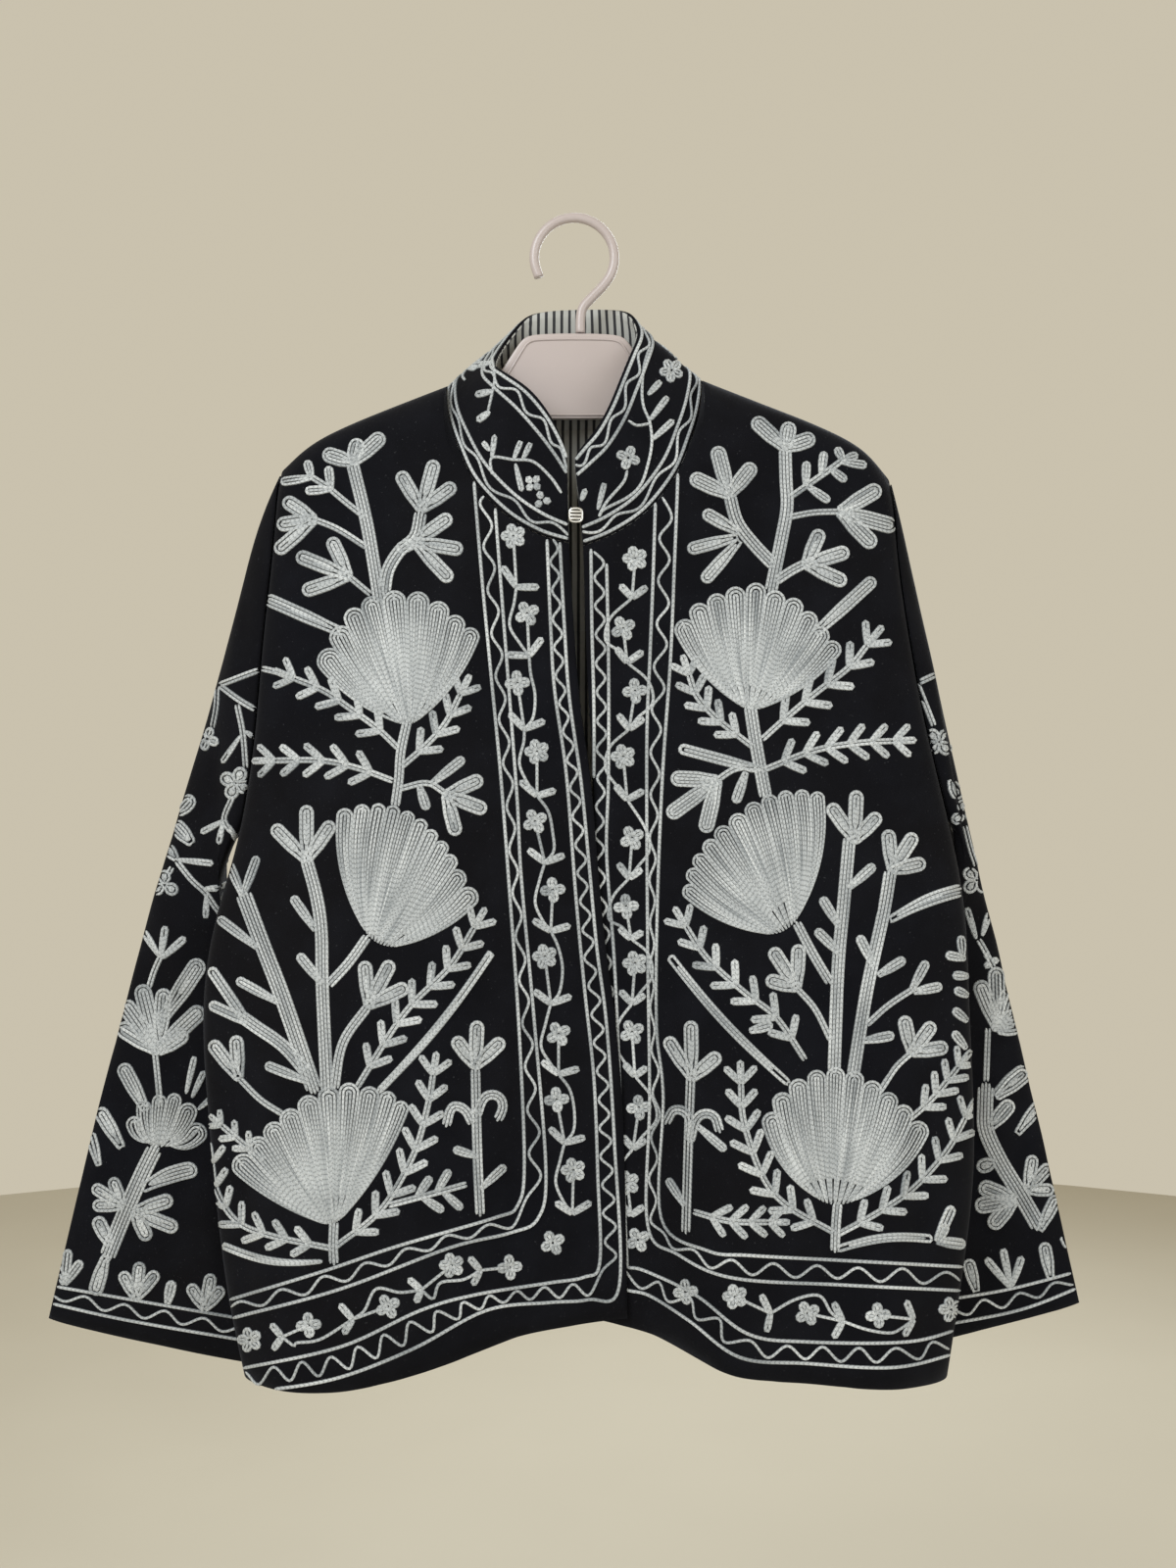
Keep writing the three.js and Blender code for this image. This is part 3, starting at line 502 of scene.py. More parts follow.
# ---- Embroidery ----
class Ground:
    """A cloth piece ready for stitching: its surface, its thread mesh and its place for chart points."""

    def __init__(self, piece, name, seed):
        self.tree = BVHTree.FromPolygons([v.co.copy() for v in piece.data.vertices],
                                         [list(p.vertices) for p in piece.data.polygons])
        self.bm = bmesh.new()
        self.uv = self.bm.loops.layers.uv.new("thread")
        self.dice = random.Random(seed)
        self.name = name
        self.eye = FRONT_EYE
        self.step = STITCH_STEP
        self.run = 0.0

    def seen(self, across, down):
        """Where the line of sight through a chart point meets the cloth."""
        target = Vector(((across - HOOK_ACROSS) * STEP, 0, -(down - HOOK_DOWN) * STEP))
        hit, normal, _, _ = self.tree.ray_cast(self.eye, (target - self.eye).normalized())
        if hit is None:
            return None
        if normal.dot(self.eye - hit) < 0:
            normal = -normal
        return hit, normal

    def sew(self, line, width=ROW, where=None, ends=1.0):
        """One row of chain stitch along a chart line; ends is how tight it is drawn there."""
        where = where or self.seen
        stations = [where(p[0], p[1]) for p in smooth_line(line, self.step / STEP)]
        part = []
        for station in stations + [None]:
            if station and (not part or (station[0] - part[-1][0]).length < SIGHT_JUMP):
                part.append(station)
                continue
            if len(part) > 2:
                self.lay(part, width, ends)
            part = [station] if station else []

    def lay(self, part, width, ends):
        """A raised strip, three faces across, over the points of one row."""
        n = len(part) - 1
        lift = self.dice.uniform(0.0, LOOSE_LIFT) * MM
        made = bmesh.ops.create_grid(self.bm, x_segments=n, y_segments=3, size=0.5)["verts"]
        sides = []
        for i, (_, normal) in enumerate(part):
            before, after = part[max(0, i - 1)][0], part[min(n, i + 1)][0]
            sides.append(normal.cross(after - before).normalized())
        gone = [0.0]
        for a, b in zip(part, part[1:]):
            gone.append(gone[-1] + (b[0] - a[0]).length)
        places = {v: (round((v.co.x + 0.5) * n), round((v.co.y + 0.5) * 3)) for v in made}
        for vert, (i, j) in places.items():
            point, normal = part[i]
            end = 0.62 if i in (0, n) else 1.0
            drawn = min(1.0, ends + (1 - ends) * min(i, n - i) * self.step / TIGHT_RUN)
            across = (-0.5, -0.26, 0.26, 0.5)[j] * width * end * drawn
            top = (THREAD_RISE + lift) * (0.55 if end < 1 else 1)
            up = top if j in (1, 2) else -THREAD_SINK
            vert.co = point + sides[i] * across + normal * up
        for face in {f for v in made for f in v.link_faces}:
            for loop in face.loops:
                i, j = places[loop.vert]
                loop[self.uv].uv = (self.run + gone[i], j / 3)
        self.run += gone[-1] + 0.013

    def leaf(self, base, tip, half=6.2, bend=0.0, where=None, neck=0.6):
        """A leaf filled with loops of chain stitch, one inside the other."""
        b, t = Vector(base), Vector(tip)
        long = (t - b).length
        way = (t - b) / long
        out = Vector((-way.y, way.x))
        half = min(half, long * 0.48)
        rows = max(2, round(2 * half * STEP / ROW))
        pitch = 2 * half / rows
        width = max(ROW, pitch * STEP * 1.08)
        round_at = long - half

        def spread(s):
            return half * min(1.0, neck + (1.3 - neck) * s / max(round_at, 1e-6))

        def bent(s, w):
            p = b + way * s + out * (w + bend * math.sin(math.pi * min(1.0, s / long)))
            return p.x, p.y

        for k in range(rows // 2):
            inset = (k + 0.5) * pitch
            sides = [s for s in (round_at * i / 6 for i in range(7)) if spread(s) - inset > pitch * 0.12]
            left = [(s, spread(s) - inset) for s in sides]
            cap = [(round_at + (half - inset) * math.sin(a), (half - inset) * math.cos(a))
                   for a in (math.pi * i / 6 for i in range(1, 6))]
            path = left + cap + [(s, -w) for s, w in reversed(left)]
            if k == 0:
                path = [(0.0, 0.0)] + path + [(0.0, 0.0)]
            self.sew([bent(s, w) for s, w in path], width, where)
        reach = 0.92 if rows % 2 else 0.66
        self.sew([bent(long * s * reach, 0.0) for s in (0.12, 0.4, 0.7, 1.0)], width, where)

    def stem(self, line, rows=2, where=None):
        """Rows of chain stitch side by side along a stem."""
        given = smooth_line(line, 8)
        pitch = ROW / STEP * 0.96
        for k in range(rows):
            aside = (k - (rows - 1) / 2) * pitch
            shifted = []
            for i, p in enumerate(given):
                way = given[min(i + 1, len(given) - 1)] - given[max(0, i - 1)]
                shifted.append(p + Vector((-way.y, way.x)).normalized() * aside)
            cut = abs(aside) ** 2 / (pitch * rows / 2)
            shifted[0] += (shifted[1] - shifted[0]).normalized() * cut
            shifted[-1] += (shifted[-2] - shifted[-1]).normalized() * cut
            self.sew([(p.x, p.y) for p in shifted], ROW, where)

    def tulip(self, base, *tips, half=7.8, where=None):
        for tip in tips:
            self.leaf(base, tip, half, where=where, neck=0.66)

    def fan_flower(self, base, crown, foot=20, swell=0.06):
        """A cup of petals: rows run up from a rounded foot to a scalloped crown."""
        b = Vector(base)
        tips = [Vector(p) for p in crown]
        count = len(tips)
        over = (tips[-1] - tips[0]).normalized()
        up = (tips[count // 2] - b).normalized()

        def ray(share, end, t):
            aside = 2 * share - 1
            start = b + over * (foot * aside / 2) + up * (foot * 0.16 * aside * aside)
            line = end - start
            out = Vector((-line.y, line.x)).normalized()
            if out.dot(over) < 0:
                out = -out
            return start + line * t + out * (line.length * swell * 4 * t * (1 - t) * aside * abs(aside) ** 0.5)

        for i, tip in enumerate(tips):
            before, after = tips[max(0, i - 1)], tips[min(count - 1, i + 1)]
            apart = (after - before).length / (2 if 0 < i < count - 1 else 1)
            half = max(6.0, apart * 0.5)
            rows = max(3, round(2 * half * STEP / ROW))
            pitch = 2 * half / rows
            width = max(2.2 * MM, pitch * STEP * 1.02)
            share = (i + 0.5) / count
            toward = (tip - ray(share, tip, 0.93)).normalized()
            aside = Vector((-toward.y, toward.x))
            if aside.dot(over) < 0:
                aside = -aside
            middle = tip - toward * half
            for k in range(rows // 2):
                reach = half - (k + 0.5) * pitch
                turn = reach / half * 0.5 / count
                first = (0.0, 0.03, 0.2)[min(k, 2)]
                steps = [first + (1 - first) * j / 5 for j in range(6)]
                left = [ray(share - turn, middle - aside * reach, t) for t in steps]
                right = [ray(share + turn, middle + aside * reach, t) for t in steps]
                cap = [middle - aside * reach * math.cos(a) + toward * reach * math.sin(a)
                       for a in (math.pi * j / 5 for j in range(1, 5))]
                path = left + cap + right[::-1]
                self.sew([(p.x, p.y) for p in path], width * self.dice.uniform(0.86, 1.0), ends=0.85)
            if rows % 2:
                spine = [ray(share, tip - toward * pitch * 0.5, 0.04 + 0.96 * j / 5) for j in range(6)]
                self.sew([(p.x, p.y) for p in spine], width, ends=0.85)

    def blossom(self, middle, turn=0, petals=4, reach=13.5, half=5.6, where=None):
        for k in range(petals):
            a = math.radians(turn + 360 * k / petals)
            root = (middle[0] + 1.6 * math.cos(a), middle[1] + 1.6 * math.sin(a))
            tip = (middle[0] + reach * math.cos(a), middle[1] + reach * math.sin(a))
            self.leaf(root, tip, half, where=where, neck=0.5)

    def fern(self, stem, reach=24, half=3.4, pitch=25, lean=42):
        """A stem with small leaves in pairs, all leaning to its tip."""
        self.stem(stem, 2)
        line = smooth_line(stem, pitch)
        for k in range(1, len(line)):
            p, q = line[k - 1], line[k]
            way = math.atan2(q.y - p.y, q.x - p.x)
            size = reach * (0.94 + 0.2 * math.sin(math.pi * k / len(line)))
            for side in (-1, 1) if k > 1 else ():
                a = way + side * math.radians(lean + self.dice.uniform(-5, 5))
                self.leaf((p.x, p.y), (p.x + size * math.cos(a), p.y + size * math.sin(a)), half + 0.8, neck=0.78)
        last, end = line[-2], line[-1]
        way = math.atan2(end.y - last.y, end.x - last.x)
        for turn in (-44, 0, 44):
            a = way + math.radians(turn)
            self.leaf((end.x, end.y), (end.x + reach * math.cos(a), end.y + reach * math.sin(a)), half + 0.5, neck=0.78)

    def twigs(self, *pairs, half=5.4):
        for base, tip in pairs:
            self.leaf(base, tip, half)

    def band(self, first, second, beat, where=None, sweep=0.62):
        """Two lines with a wavy row between them."""
        self.sew(first, BORDER_ROW, where)
        self.sew(second, BORDER_ROW, where)
        across = smooth_line(second, 3)
        wave = []
        for k, p in enumerate(smooth_line(first, beat / 2)):
            q = min(across, key=lambda c: (c - p).length_squared)
            t = 0.5 + (0.5 if k % 2 else -0.5) * sweep * self.dice.uniform(0.85, 1.1)
            wave.append(tuple(p.lerp(q, t)))
        self.sew(wave, ROW * 0.92, where)

    def vine(self, flowers, forks, swing=18):
        """Small flowers over forks of two leaves, with a stem that swings from fork to fork."""
        for i, flower in enumerate(flowers):
            self.blossom(flower, turn=38 + 23 * (i % 3), petals=4 if i % 3 else 5)
        for i, (flower, fork) in enumerate(zip(flowers, forks)):
            if not fork:
                continue
            base, one, other = fork
            self.leaf(base, one, 4.0, neck=0.8)
            self.leaf(base, other, 4.0, neck=0.8)
            self.sew([flower, base])
            after = forks[i + 1][0] if i + 1 < len(forks) and forks[i + 1] else None
            if not after:
                continue
            x, y = flowers[i + 1]
            side = swing if i % 2 else -swing
            if abs(after[0] - base[0]) > abs(after[1] - base[1]):
                ahead = 12 if after[0] > base[0] else -12
                arc = [(x - ahead, y + side * 0.8), (x + ahead, y + side), (after[0] - ahead, after[1] + side * 0.5)]
            else:
                arc = [(x + side * 0.75, y - 10), (x + side, y + 12), (after[0] + side * 0.5, after[1] - 12)]
            self.sew([base, *arc, after])

    def finished(self):
        mesh = bpy.data.meshes.new(self.name)
        self.bm.to_mesh(mesh)
        self.bm.free()
        mesh.materials.append(THREAD)
        smoothed(mesh)
        threads = linked(self.name, mesh)
        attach(threads, "root")
        return threads


# ---- Charts ----
def right_front_fields(g):
    g.tulip((360, 472), (329, 462), (366, 447), (392, 443), half=8.5)
    g.stem([(359, 470), (373, 528), (381, 572), (388, 616)], 4)
    g.stem([(374, 529), (355, 514), (337, 499)])
    g.stem([(338, 499), (317, 486)])
    g.twigs(((339, 499), (311, 501)), ((338, 499), (335, 475)), ((318, 487), (313, 469)), ((319, 487), (286, 492)),
            half=5)
    g.stem([(375, 559), (345, 540), (318, 529)])
    g.tulip((321, 530), (289, 509), (282, 536), (281, 564), half=8)
    g.tulip((356, 588), (337, 548), (302, 566), (308, 604))
    g.stem([(356, 588), (379, 607)])
    g.stem([(392, 606), (396, 582), (408, 562), (424, 547), (430, 520)], 4)
    g.stem([(404, 562), (424, 553)], 4)
    g.tulip((430, 520), (407, 481), (444, 469), (465, 494))
    g.tulip((423, 553), (461, 526), (473, 561), (461, 593))
    g.leaf((346, 644), (270, 610), 7, neck=0.75)
    g.fan_flower((417, 739), [(329, 663), (343, 639), (358, 620), (377, 608), (401, 602), (427, 603), (449, 613),
            (467, 627), (483, 640)], 20, 0.07)
    g.stem([(416, 734), (409, 767), (407, 795), (403, 824)], 3)
    g.fern([(407, 764), (385, 743), (356, 722), (331, 705), (300, 692)], 24, 3.4, 24)
    g.stem([(300, 692), (284, 686), (267, 682)])
    g.fern([(402, 797), (366, 784), (328, 776), (280, 776)], 24, 3.4, 26)
    g.fern([(409, 783), (436, 759), (455, 737), (470, 708)], 23, 3.4, 22)
    g.stem([(407, 805), (436, 799), (455, 810)])
    g.twigs(((440, 800), (474, 773)), ((428, 802), (436, 827)))
    g.tulip((455, 811), (493, 794), (497, 827), (466, 853))
    g.tulip((313, 878), (278, 842), (313, 821), (340, 838))
    g.fan_flower((384, 961), [(353, 824), (371, 820), (388, 819), (403, 821), (418, 827), (432, 835), (443, 846),
            (454, 858), (463, 872), (472, 888), (485, 907)], 38, 0.08)
    g.stem([(312, 874), (323, 915), (328, 952), (329, 1008), (334, 1116)], 4)
    g.stem([(376, 954), (356, 982), (334, 1006)], 3)
    g.twigs(((322, 949), (298, 914)), ((329, 1004), (304, 973)))
    g.stem([(247, 908), (268, 964), (289, 1019), (322, 1116)], 5)
    g.tulip((248, 914), (233, 878), (263, 873), half=5)
    g.twigs(((285, 1023), (241, 999)), ((315, 1104), (270, 1086)), ((263, 967), (222, 936)))
    g.stem([(316, 1098), (290, 1068), (262, 1048), (242, 1034)], 4)
    g.leaf((250, 1040), (214, 987), 6, neck=0.85)
    g.leaf((252, 1042), (213, 1024), 6, neck=0.85)
    g.tulip((244, 1100), (215, 1062), (241, 1056))
    g.stem([(244, 1100), (266, 1122), (289, 1137)])
    g.tulip((376, 1026), (372, 980), (400, 980), (417, 1006))
    g.stem([(376, 1026), (350, 1064), (341, 1112)], 3)
    g.fern([(364, 1110), (400, 1052), (422, 1023), (459, 986), (484, 946)])
    g.leaf((388, 1112), (502, 971), 4.4, bend=5, neck=0.85)
    g.fan_flower((340, 1248), [(240, 1180), (257, 1161), (275, 1145), (293, 1131), (313, 1117), (335, 1108),
            (357, 1104), (379, 1108), (398, 1113), (412, 1123)], 20, 0.05)
    g.stem([(341, 1245), (340, 1270), (341, 1291)], 3)
    g.fern([(270, 1184), (250, 1168), (226, 1148)], 17, 3, 18)
    g.fern([(340, 1274), (274, 1260), (241, 1245), (222, 1215), (217, 1186)], 22, 3.4, 24)
    g.leaf((329, 1287), (226, 1270), 4.4, bend=-8)
    g.fern([(341, 1273), (389, 1234), (422, 1178), (437, 1126), (442, 1096)])
    g.stem([(490, 1241), (487, 1174), (485, 1089)], 3)
    g.tulip((485, 1088), (463, 1058), (487, 1041), (514, 1060))
    g.stem([(483, 1148), (474, 1132), (461, 1130), (455, 1150)], 3)
    g.stem([(486, 1140), (494, 1120), (508, 1118), (513, 1130), (507, 1144)], 3)
    g.stem([(396, 1230), (437, 1219), (477, 1208)])
    g.twigs(((425, 1222), (440, 1200)), ((445, 1217), (459, 1193)), ((452, 1216), (472, 1234)), ((430, 1221),
            (453, 1236)), ((490, 1213), (516, 1189)), ((487, 1180), (462, 1172)), half=4.6)


def left_front_fields(g):
    g.tulip((801, 457), (768, 427), (806, 430), (832, 446), half=8.5)
    g.stem([(801, 455), (802, 489), (803, 518), (797, 552), (786, 606)], 4)
    g.tulip((744, 505), (731, 455), (704, 486), (770, 473), half=8.5)
    g.stem([(744, 503), (752, 532), (768, 554), (791, 578)], 4)
    g.twigs(((753, 543), (717, 522)), ((752, 548), (701, 561)), ((754, 552), (717, 594)), half=7)
    g.stem([(805, 508), (828, 492), (848, 478), (864, 466)])
    g.twigs(((822, 496), (823, 470)), ((838, 485), (841, 460)), ((860, 469), (853, 456)), ((858, 471), (885, 475)),
            ((847, 478), (864, 491)), ((824, 496), (847, 512)), ((862, 468), (876, 464)), half=4.8)
    g.tulip((857, 522), (899, 497), (915, 538), (893, 558), half=8.8)
    g.stem([(857, 522), (830, 523), (803, 528)])
    g.tulip((822, 576), (838, 540), (867, 562), (864, 595), half=8)
    g.stem([(824, 574), (808, 582), (790, 594)], 3)
    g.leaf((833, 645), (893, 590), 7, neck=0.75)
    g.fan_flower((765, 724), [(695, 632), (711, 615), (730, 605), (750, 598), (772, 594), (793, 602), (813, 610),
            (829, 624), (842, 640), (855, 655)], 22, 0.07)
    g.stem([(765, 718), (771, 757), (777, 790), (782, 816)], 4)
    g.fern([(768, 762), (746, 745), (728, 730), (711, 710), (703, 688)], 22, 3.4, 22)
    g.fern([(777, 755), (798, 736), (831, 708), (866, 681), (885, 658)], 26, 3.6, 27)
    g.fern([(778, 786), (830, 766), (876, 758), (912, 756)])
    g.stem([(780, 784), (752, 784), (730, 797)])
    g.tulip((732, 796), (684, 794), (681, 833), (719, 850), half=8.4)
    g.leaf((770, 784), (692, 763), 6, neck=0.8)
    g.leaf((761, 788), (750, 820), 5.6)
    g.fan_flower((804, 947), [(698, 904), (702, 887), (709, 872), (720, 857), (733, 843), (749, 830), (766, 818),
            (783, 810), (800, 806), (817, 805), (833, 807)], 38, 0.08)
    g.stem([(867, 852), (861, 920), (855, 989), (851, 1096)], 4)
    g.tulip((872, 858), (846, 820), (874, 806), (898, 830))
    g.twigs(((866, 906), (893, 882)), ((856, 945), (838, 915)), ((858, 974), (832, 948)))
    g.stem([(812, 940), (830, 974), (848, 1004)], 3)
    g.stem([(909, 886), (901, 934), (885, 1008), (870, 1100)], 4)
    g.tulip((910, 888), (906, 846), (934, 850), (945, 880))
    g.twigs(((892, 986), (876, 954)), ((896, 995), (924, 978)), ((881, 1062), (913, 1056)))
    g.leaf((909, 938), (990, 906), 7, bend=-4)
    g.stem([(884, 1046), (906, 1026), (933, 1008)])
    g.twigs(((930, 1010), (946, 980)), ((932, 1012), (962, 1006)))
    g.tulip((813, 1008), (787, 967), (815, 963), (781, 999))
    g.stem([(813, 1008), (832, 1030), (848, 1062)])
    g.tulip((930, 1074), (922, 1036), (953, 1043), (968, 1068))
    g.stem([(930, 1074), (914, 1089), (897, 1115)])
    g.leaf((803, 1104), (683, 975), 4.6, bend=-5, neck=0.85)
    g.twigs(((765, 1052), (789, 1045)))
    g.fern([(822, 1082), (792, 1038), (759, 1012), (722, 978), (700, 945)])
    g.stem([(705, 1097), (703, 1156), (700, 1259)], 3)
    g.tulip((706, 1100), (680, 1058), (705, 1041), (735, 1075))
    g.stem([(704, 1160), (703, 1139), (689, 1132), (679, 1147)], 3)
    g.stem([(704, 1166), (712, 1140), (728, 1138), (735, 1156)], 3)
    g.twigs(((711, 1148), (741, 1174)), ((699, 1230), (681, 1202)), half=4.6)
    g.fern([(707, 1236), (745, 1246), (785, 1247)], 22, 3.2, 21)
    g.fern([(852, 1258), (803, 1230), (778, 1200), (759, 1145), (756, 1105)])
    g.fan_flower((852, 1229), [(786, 1134), (797, 1114), (814, 1100), (833, 1091), (853, 1088), (873, 1092),
            (892, 1102), (909, 1114), (925, 1127), (941, 1144)], 40, 0.10)
    g.stem([(855, 1226), (853, 1250), (852, 1278)], 3)
    g.fern([(854, 1260), (896, 1237), (933, 1211), (966, 1174), (985, 1140)])
    g.fern([(928, 1142), (952, 1120), (978, 1088)], 22, 3.4, 20)
    g.leaf((856, 1274), (952, 1264), 4.6, bend=-6, neck=0.85)
    g.tulip((956, 1266), (972, 1230), (966, 1248), (986, 1270), half=6)
    g.twigs(((982, 976), (980, 954)), ((985, 978), (964, 974)), ((988, 996), (971, 995)), ((988, 1016), (973, 1009)),
            ((987, 1042), (972, 1029)), ((986, 1070), (972, 1052)), half=5)


def right_front_borders(g):
    outer = [(482, 470), (491, 580), (501, 687), (511, 792), (519, 897), (529, 1040), (535, 1185), (528, 1230),
            (503, 1243), (407, 1271), (333, 1296), (248, 1322), (222, 1330)]
    inner = [(504, 500), (513, 620), (522, 738), (528, 820), (532, 897), (545, 1040), (557, 1193), (549, 1243),
            (520, 1258), (459, 1273), (348, 1315), (244, 1343), (220, 1350)]
    g.band(outer, inner, 44, sweep=0.56)
    edge = [(558, 545), (562, 640), (566, 705), (578, 791), (588, 919), (597, 1014), (606, 1100), (610, 1200),
            (612, 1288), (596, 1303), (560, 1309), (485, 1321), (429, 1337), (348, 1374), (248, 1396), (222, 1402)]
    rim = [(571, 548), (576, 640), (581, 712), (593, 798), (601, 881), (609, 967), (619, 1046), (627, 1166),
            (632, 1312), (600, 1326), (560, 1329), (496, 1337), (422, 1376), (348, 1405), (282, 1417), (240, 1418)]
    g.band(edge, rim, 29)
    g.vine([(524, 547), (538, 626), (528, 697), (548, 767), (546, 838), (564, 908), (556, 976), (570, 1055),
            (568, 1122), (585, 1194), (564, 1268), (520, 1293), (461, 1291), (396, 1333), (315, 1352), (255, 1367)],
            [((527, 599), (512, 577), (551, 599)), ((540, 669), (516, 668), (554, 650)), ((535, 744), (519, 727),
            (557, 735)), ((548, 812), (530, 796), (568, 806)), ((556, 880), (538, 866), (577, 872)), ((562, 950),
            (543, 938), (583, 944)), ((562, 1024), (544, 1010), (584, 1016)), ((570, 1096), (552, 1082),
            (592, 1090)), ((576, 1166), (560, 1150), (598, 1160)), ((584, 1238), (566, 1226), (604, 1226)),
            None, ((490, 1296), (478, 1282), (482, 1312)), ((430, 1316), (416, 1304), (424, 1330)), ((360, 1346),
            (346, 1330), (350, 1362)), ((288, 1364), (276, 1350), (278, 1378))])


def left_front_borders(g):
    inner = [(603, 560), (604, 640), (606, 720), (606, 791), (604, 871), (612, 967), (615, 1046), (620, 1140),
            (624, 1290)]
    rim = [(619, 575), (621, 680), (621, 791), (619, 871), (626, 967), (630, 1046), (635, 1180), (640, 1293),
            (659, 1297), (711, 1322), (763, 1361), (822, 1369), (926, 1369), (985, 1354)]
    foot = [(625, 1300), (637, 1315), (663, 1322), (704, 1348), (755, 1385), (822, 1391), (914, 1395), (985, 1378)]
    g.band(inner, rim[:8], 29)
    g.band(rim[7:], foot, 36)
    outer = [(669, 505), (666, 600), (663, 675), (660, 763), (661, 971), (663, 1119), (661, 1250), (692, 1280),
            (748, 1304), (859, 1311), (985, 1317)]
    field = [(692, 478), (688, 580), (684, 675), (676, 792), (671, 920), (670, 1045), (677, 1119), (675, 1243),
            (722, 1276), (766, 1281), (860, 1286), (990, 1293)]
    g.band(outer, field, 44, sweep=0.56)
    g.vine([(648, 570), (636, 641), (648, 705), (636, 772), (645, 855), (639, 925), (648, 983), (645, 1053),
            (652, 1130), (640, 1207), (651, 1265), (700, 1318), (750, 1323), (824, 1340), (896, 1342), (970, 1336)],
            [((645, 610), (632, 596), (661, 598)), ((640, 676), (628, 660), (657, 664)), ((642, 744), (630, 728),
            (658, 732)), ((640, 816), (627, 800), (658, 806)), ((642, 896), (630, 880), (656, 886)), ((644, 958),
            (631, 946), (657, 950)), ((645, 1024), (632, 1010), (659, 1014)), ((648, 1098), (636, 1084),
            (661, 1088)), ((646, 1172), (634, 1158), (660, 1162)), ((644, 1240), (633, 1228), (658, 1230)),
            None, None, ((786, 1340), (776, 1320), (782, 1360)), ((860, 1348), (850, 1328), (850, 1366)),
            ((932, 1346), (924, 1326), (922, 1364))])


def right_sleeve_chart(g):
    g.stem([(275, 680), (250, 689), (224, 699)])
    g.stem([(224, 699), (244, 714), (268, 728)])
    g.stem([(222, 700), (221, 722), (217, 743)])
    g.blossom((212, 754), 20, 4, 13, 6)
    g.stem([(242, 718), (248, 748), (251, 784)])
    g.twigs(((246, 750), (226, 779)), ((250, 746), (266, 756)), half=3.4)
    g.blossom((241, 799), 25, 4, 18, 8)
    g.stem([(238, 812), (229, 836), (238, 850)])
    g.twigs(((229, 837), (204, 850)), ((228, 838), (223, 862)), ((234, 842), (246, 866)), half=3.6)
    g.leaf((182, 830), (198, 812), 8.5)
    g.leaf((196, 860), (176, 838), 8.5)
    g.leaf((180, 876), (166, 860), 7)
    g.twigs(((180, 877), (219, 881)), half=3.6)
    g.stem([(180, 878), (196, 898), (210, 911), (221, 927), (240, 950)])
    g.twigs(((208, 907), (226, 906)), ((211, 912), (210, 938)), half=3.6)
    g.blossom((168, 903), 30, 3, 16, 7.6)
    g.stem([(176, 884), (172, 892)])
    g.twigs(((164, 978), (169, 944)), ((165, 978), (190, 956)), ((163, 976), (144, 946)), half=4.4)
    g.stem([(164, 976), (157, 992), (152, 1008)])
    g.tulip((161, 1072), (144, 1004), (125, 1021), (120, 1046), (208, 1028), (192, 1052), half=9.5)
    g.leaf((163, 1064), (168, 1008), 9)
    g.leaf((166, 1040), (206, 979), 10)
    g.stem([(158, 1070), (161, 1100), (164, 1132)])
    g.fan_flower((161, 1170), [(138, 1138), (148, 1122), (164, 1116), (180, 1115), (195, 1125), (206, 1146)], 22, 0.2)
    g.leaf((149, 1132), (124, 1085), 8.5)
    g.twigs(((190, 1116), (199, 1077)), ((196, 1120), (209, 1092)), ((202, 1132), (226, 1112)), half=3.6)
    g.leaf((124, 1170), (100, 1130), 8)
    g.leaf((101, 1189), (92, 1154), 6)
    g.stem([(160, 1168), (146, 1196), (133, 1225), (120, 1256), (108, 1286)], 5)
    g.leaf((108, 1282), (96, 1322), 8)
    g.leaf((146, 1212), (202, 1192), 9, bend=-3)
    g.tulip((126, 1230), (94, 1210), (114, 1201), (94, 1230), half=7)
    g.tulip((137, 1236), (177, 1223), (182, 1254), (152, 1266), half=8)
    g.leaf((112, 1270), (98, 1241), 8)
    g.tulip((66, 1310), (56, 1288), (70, 1274), (84, 1286), half=5.4)
    g.tulip((139, 1325), (124, 1297), (143, 1287), (161, 1297), half=7)
    g.leaf((171, 1330), (176, 1306), 6)
    g.tulip((209, 1335), (193, 1310), (216, 1299), (228, 1313), half=7)
    g.leaf((236, 1120), (216, 1096), 5)
    g.band([(48, 1311), (128, 1325), (250, 1346)], [(44, 1328), (130, 1347), (252, 1368)], 40, sweep=0.5)


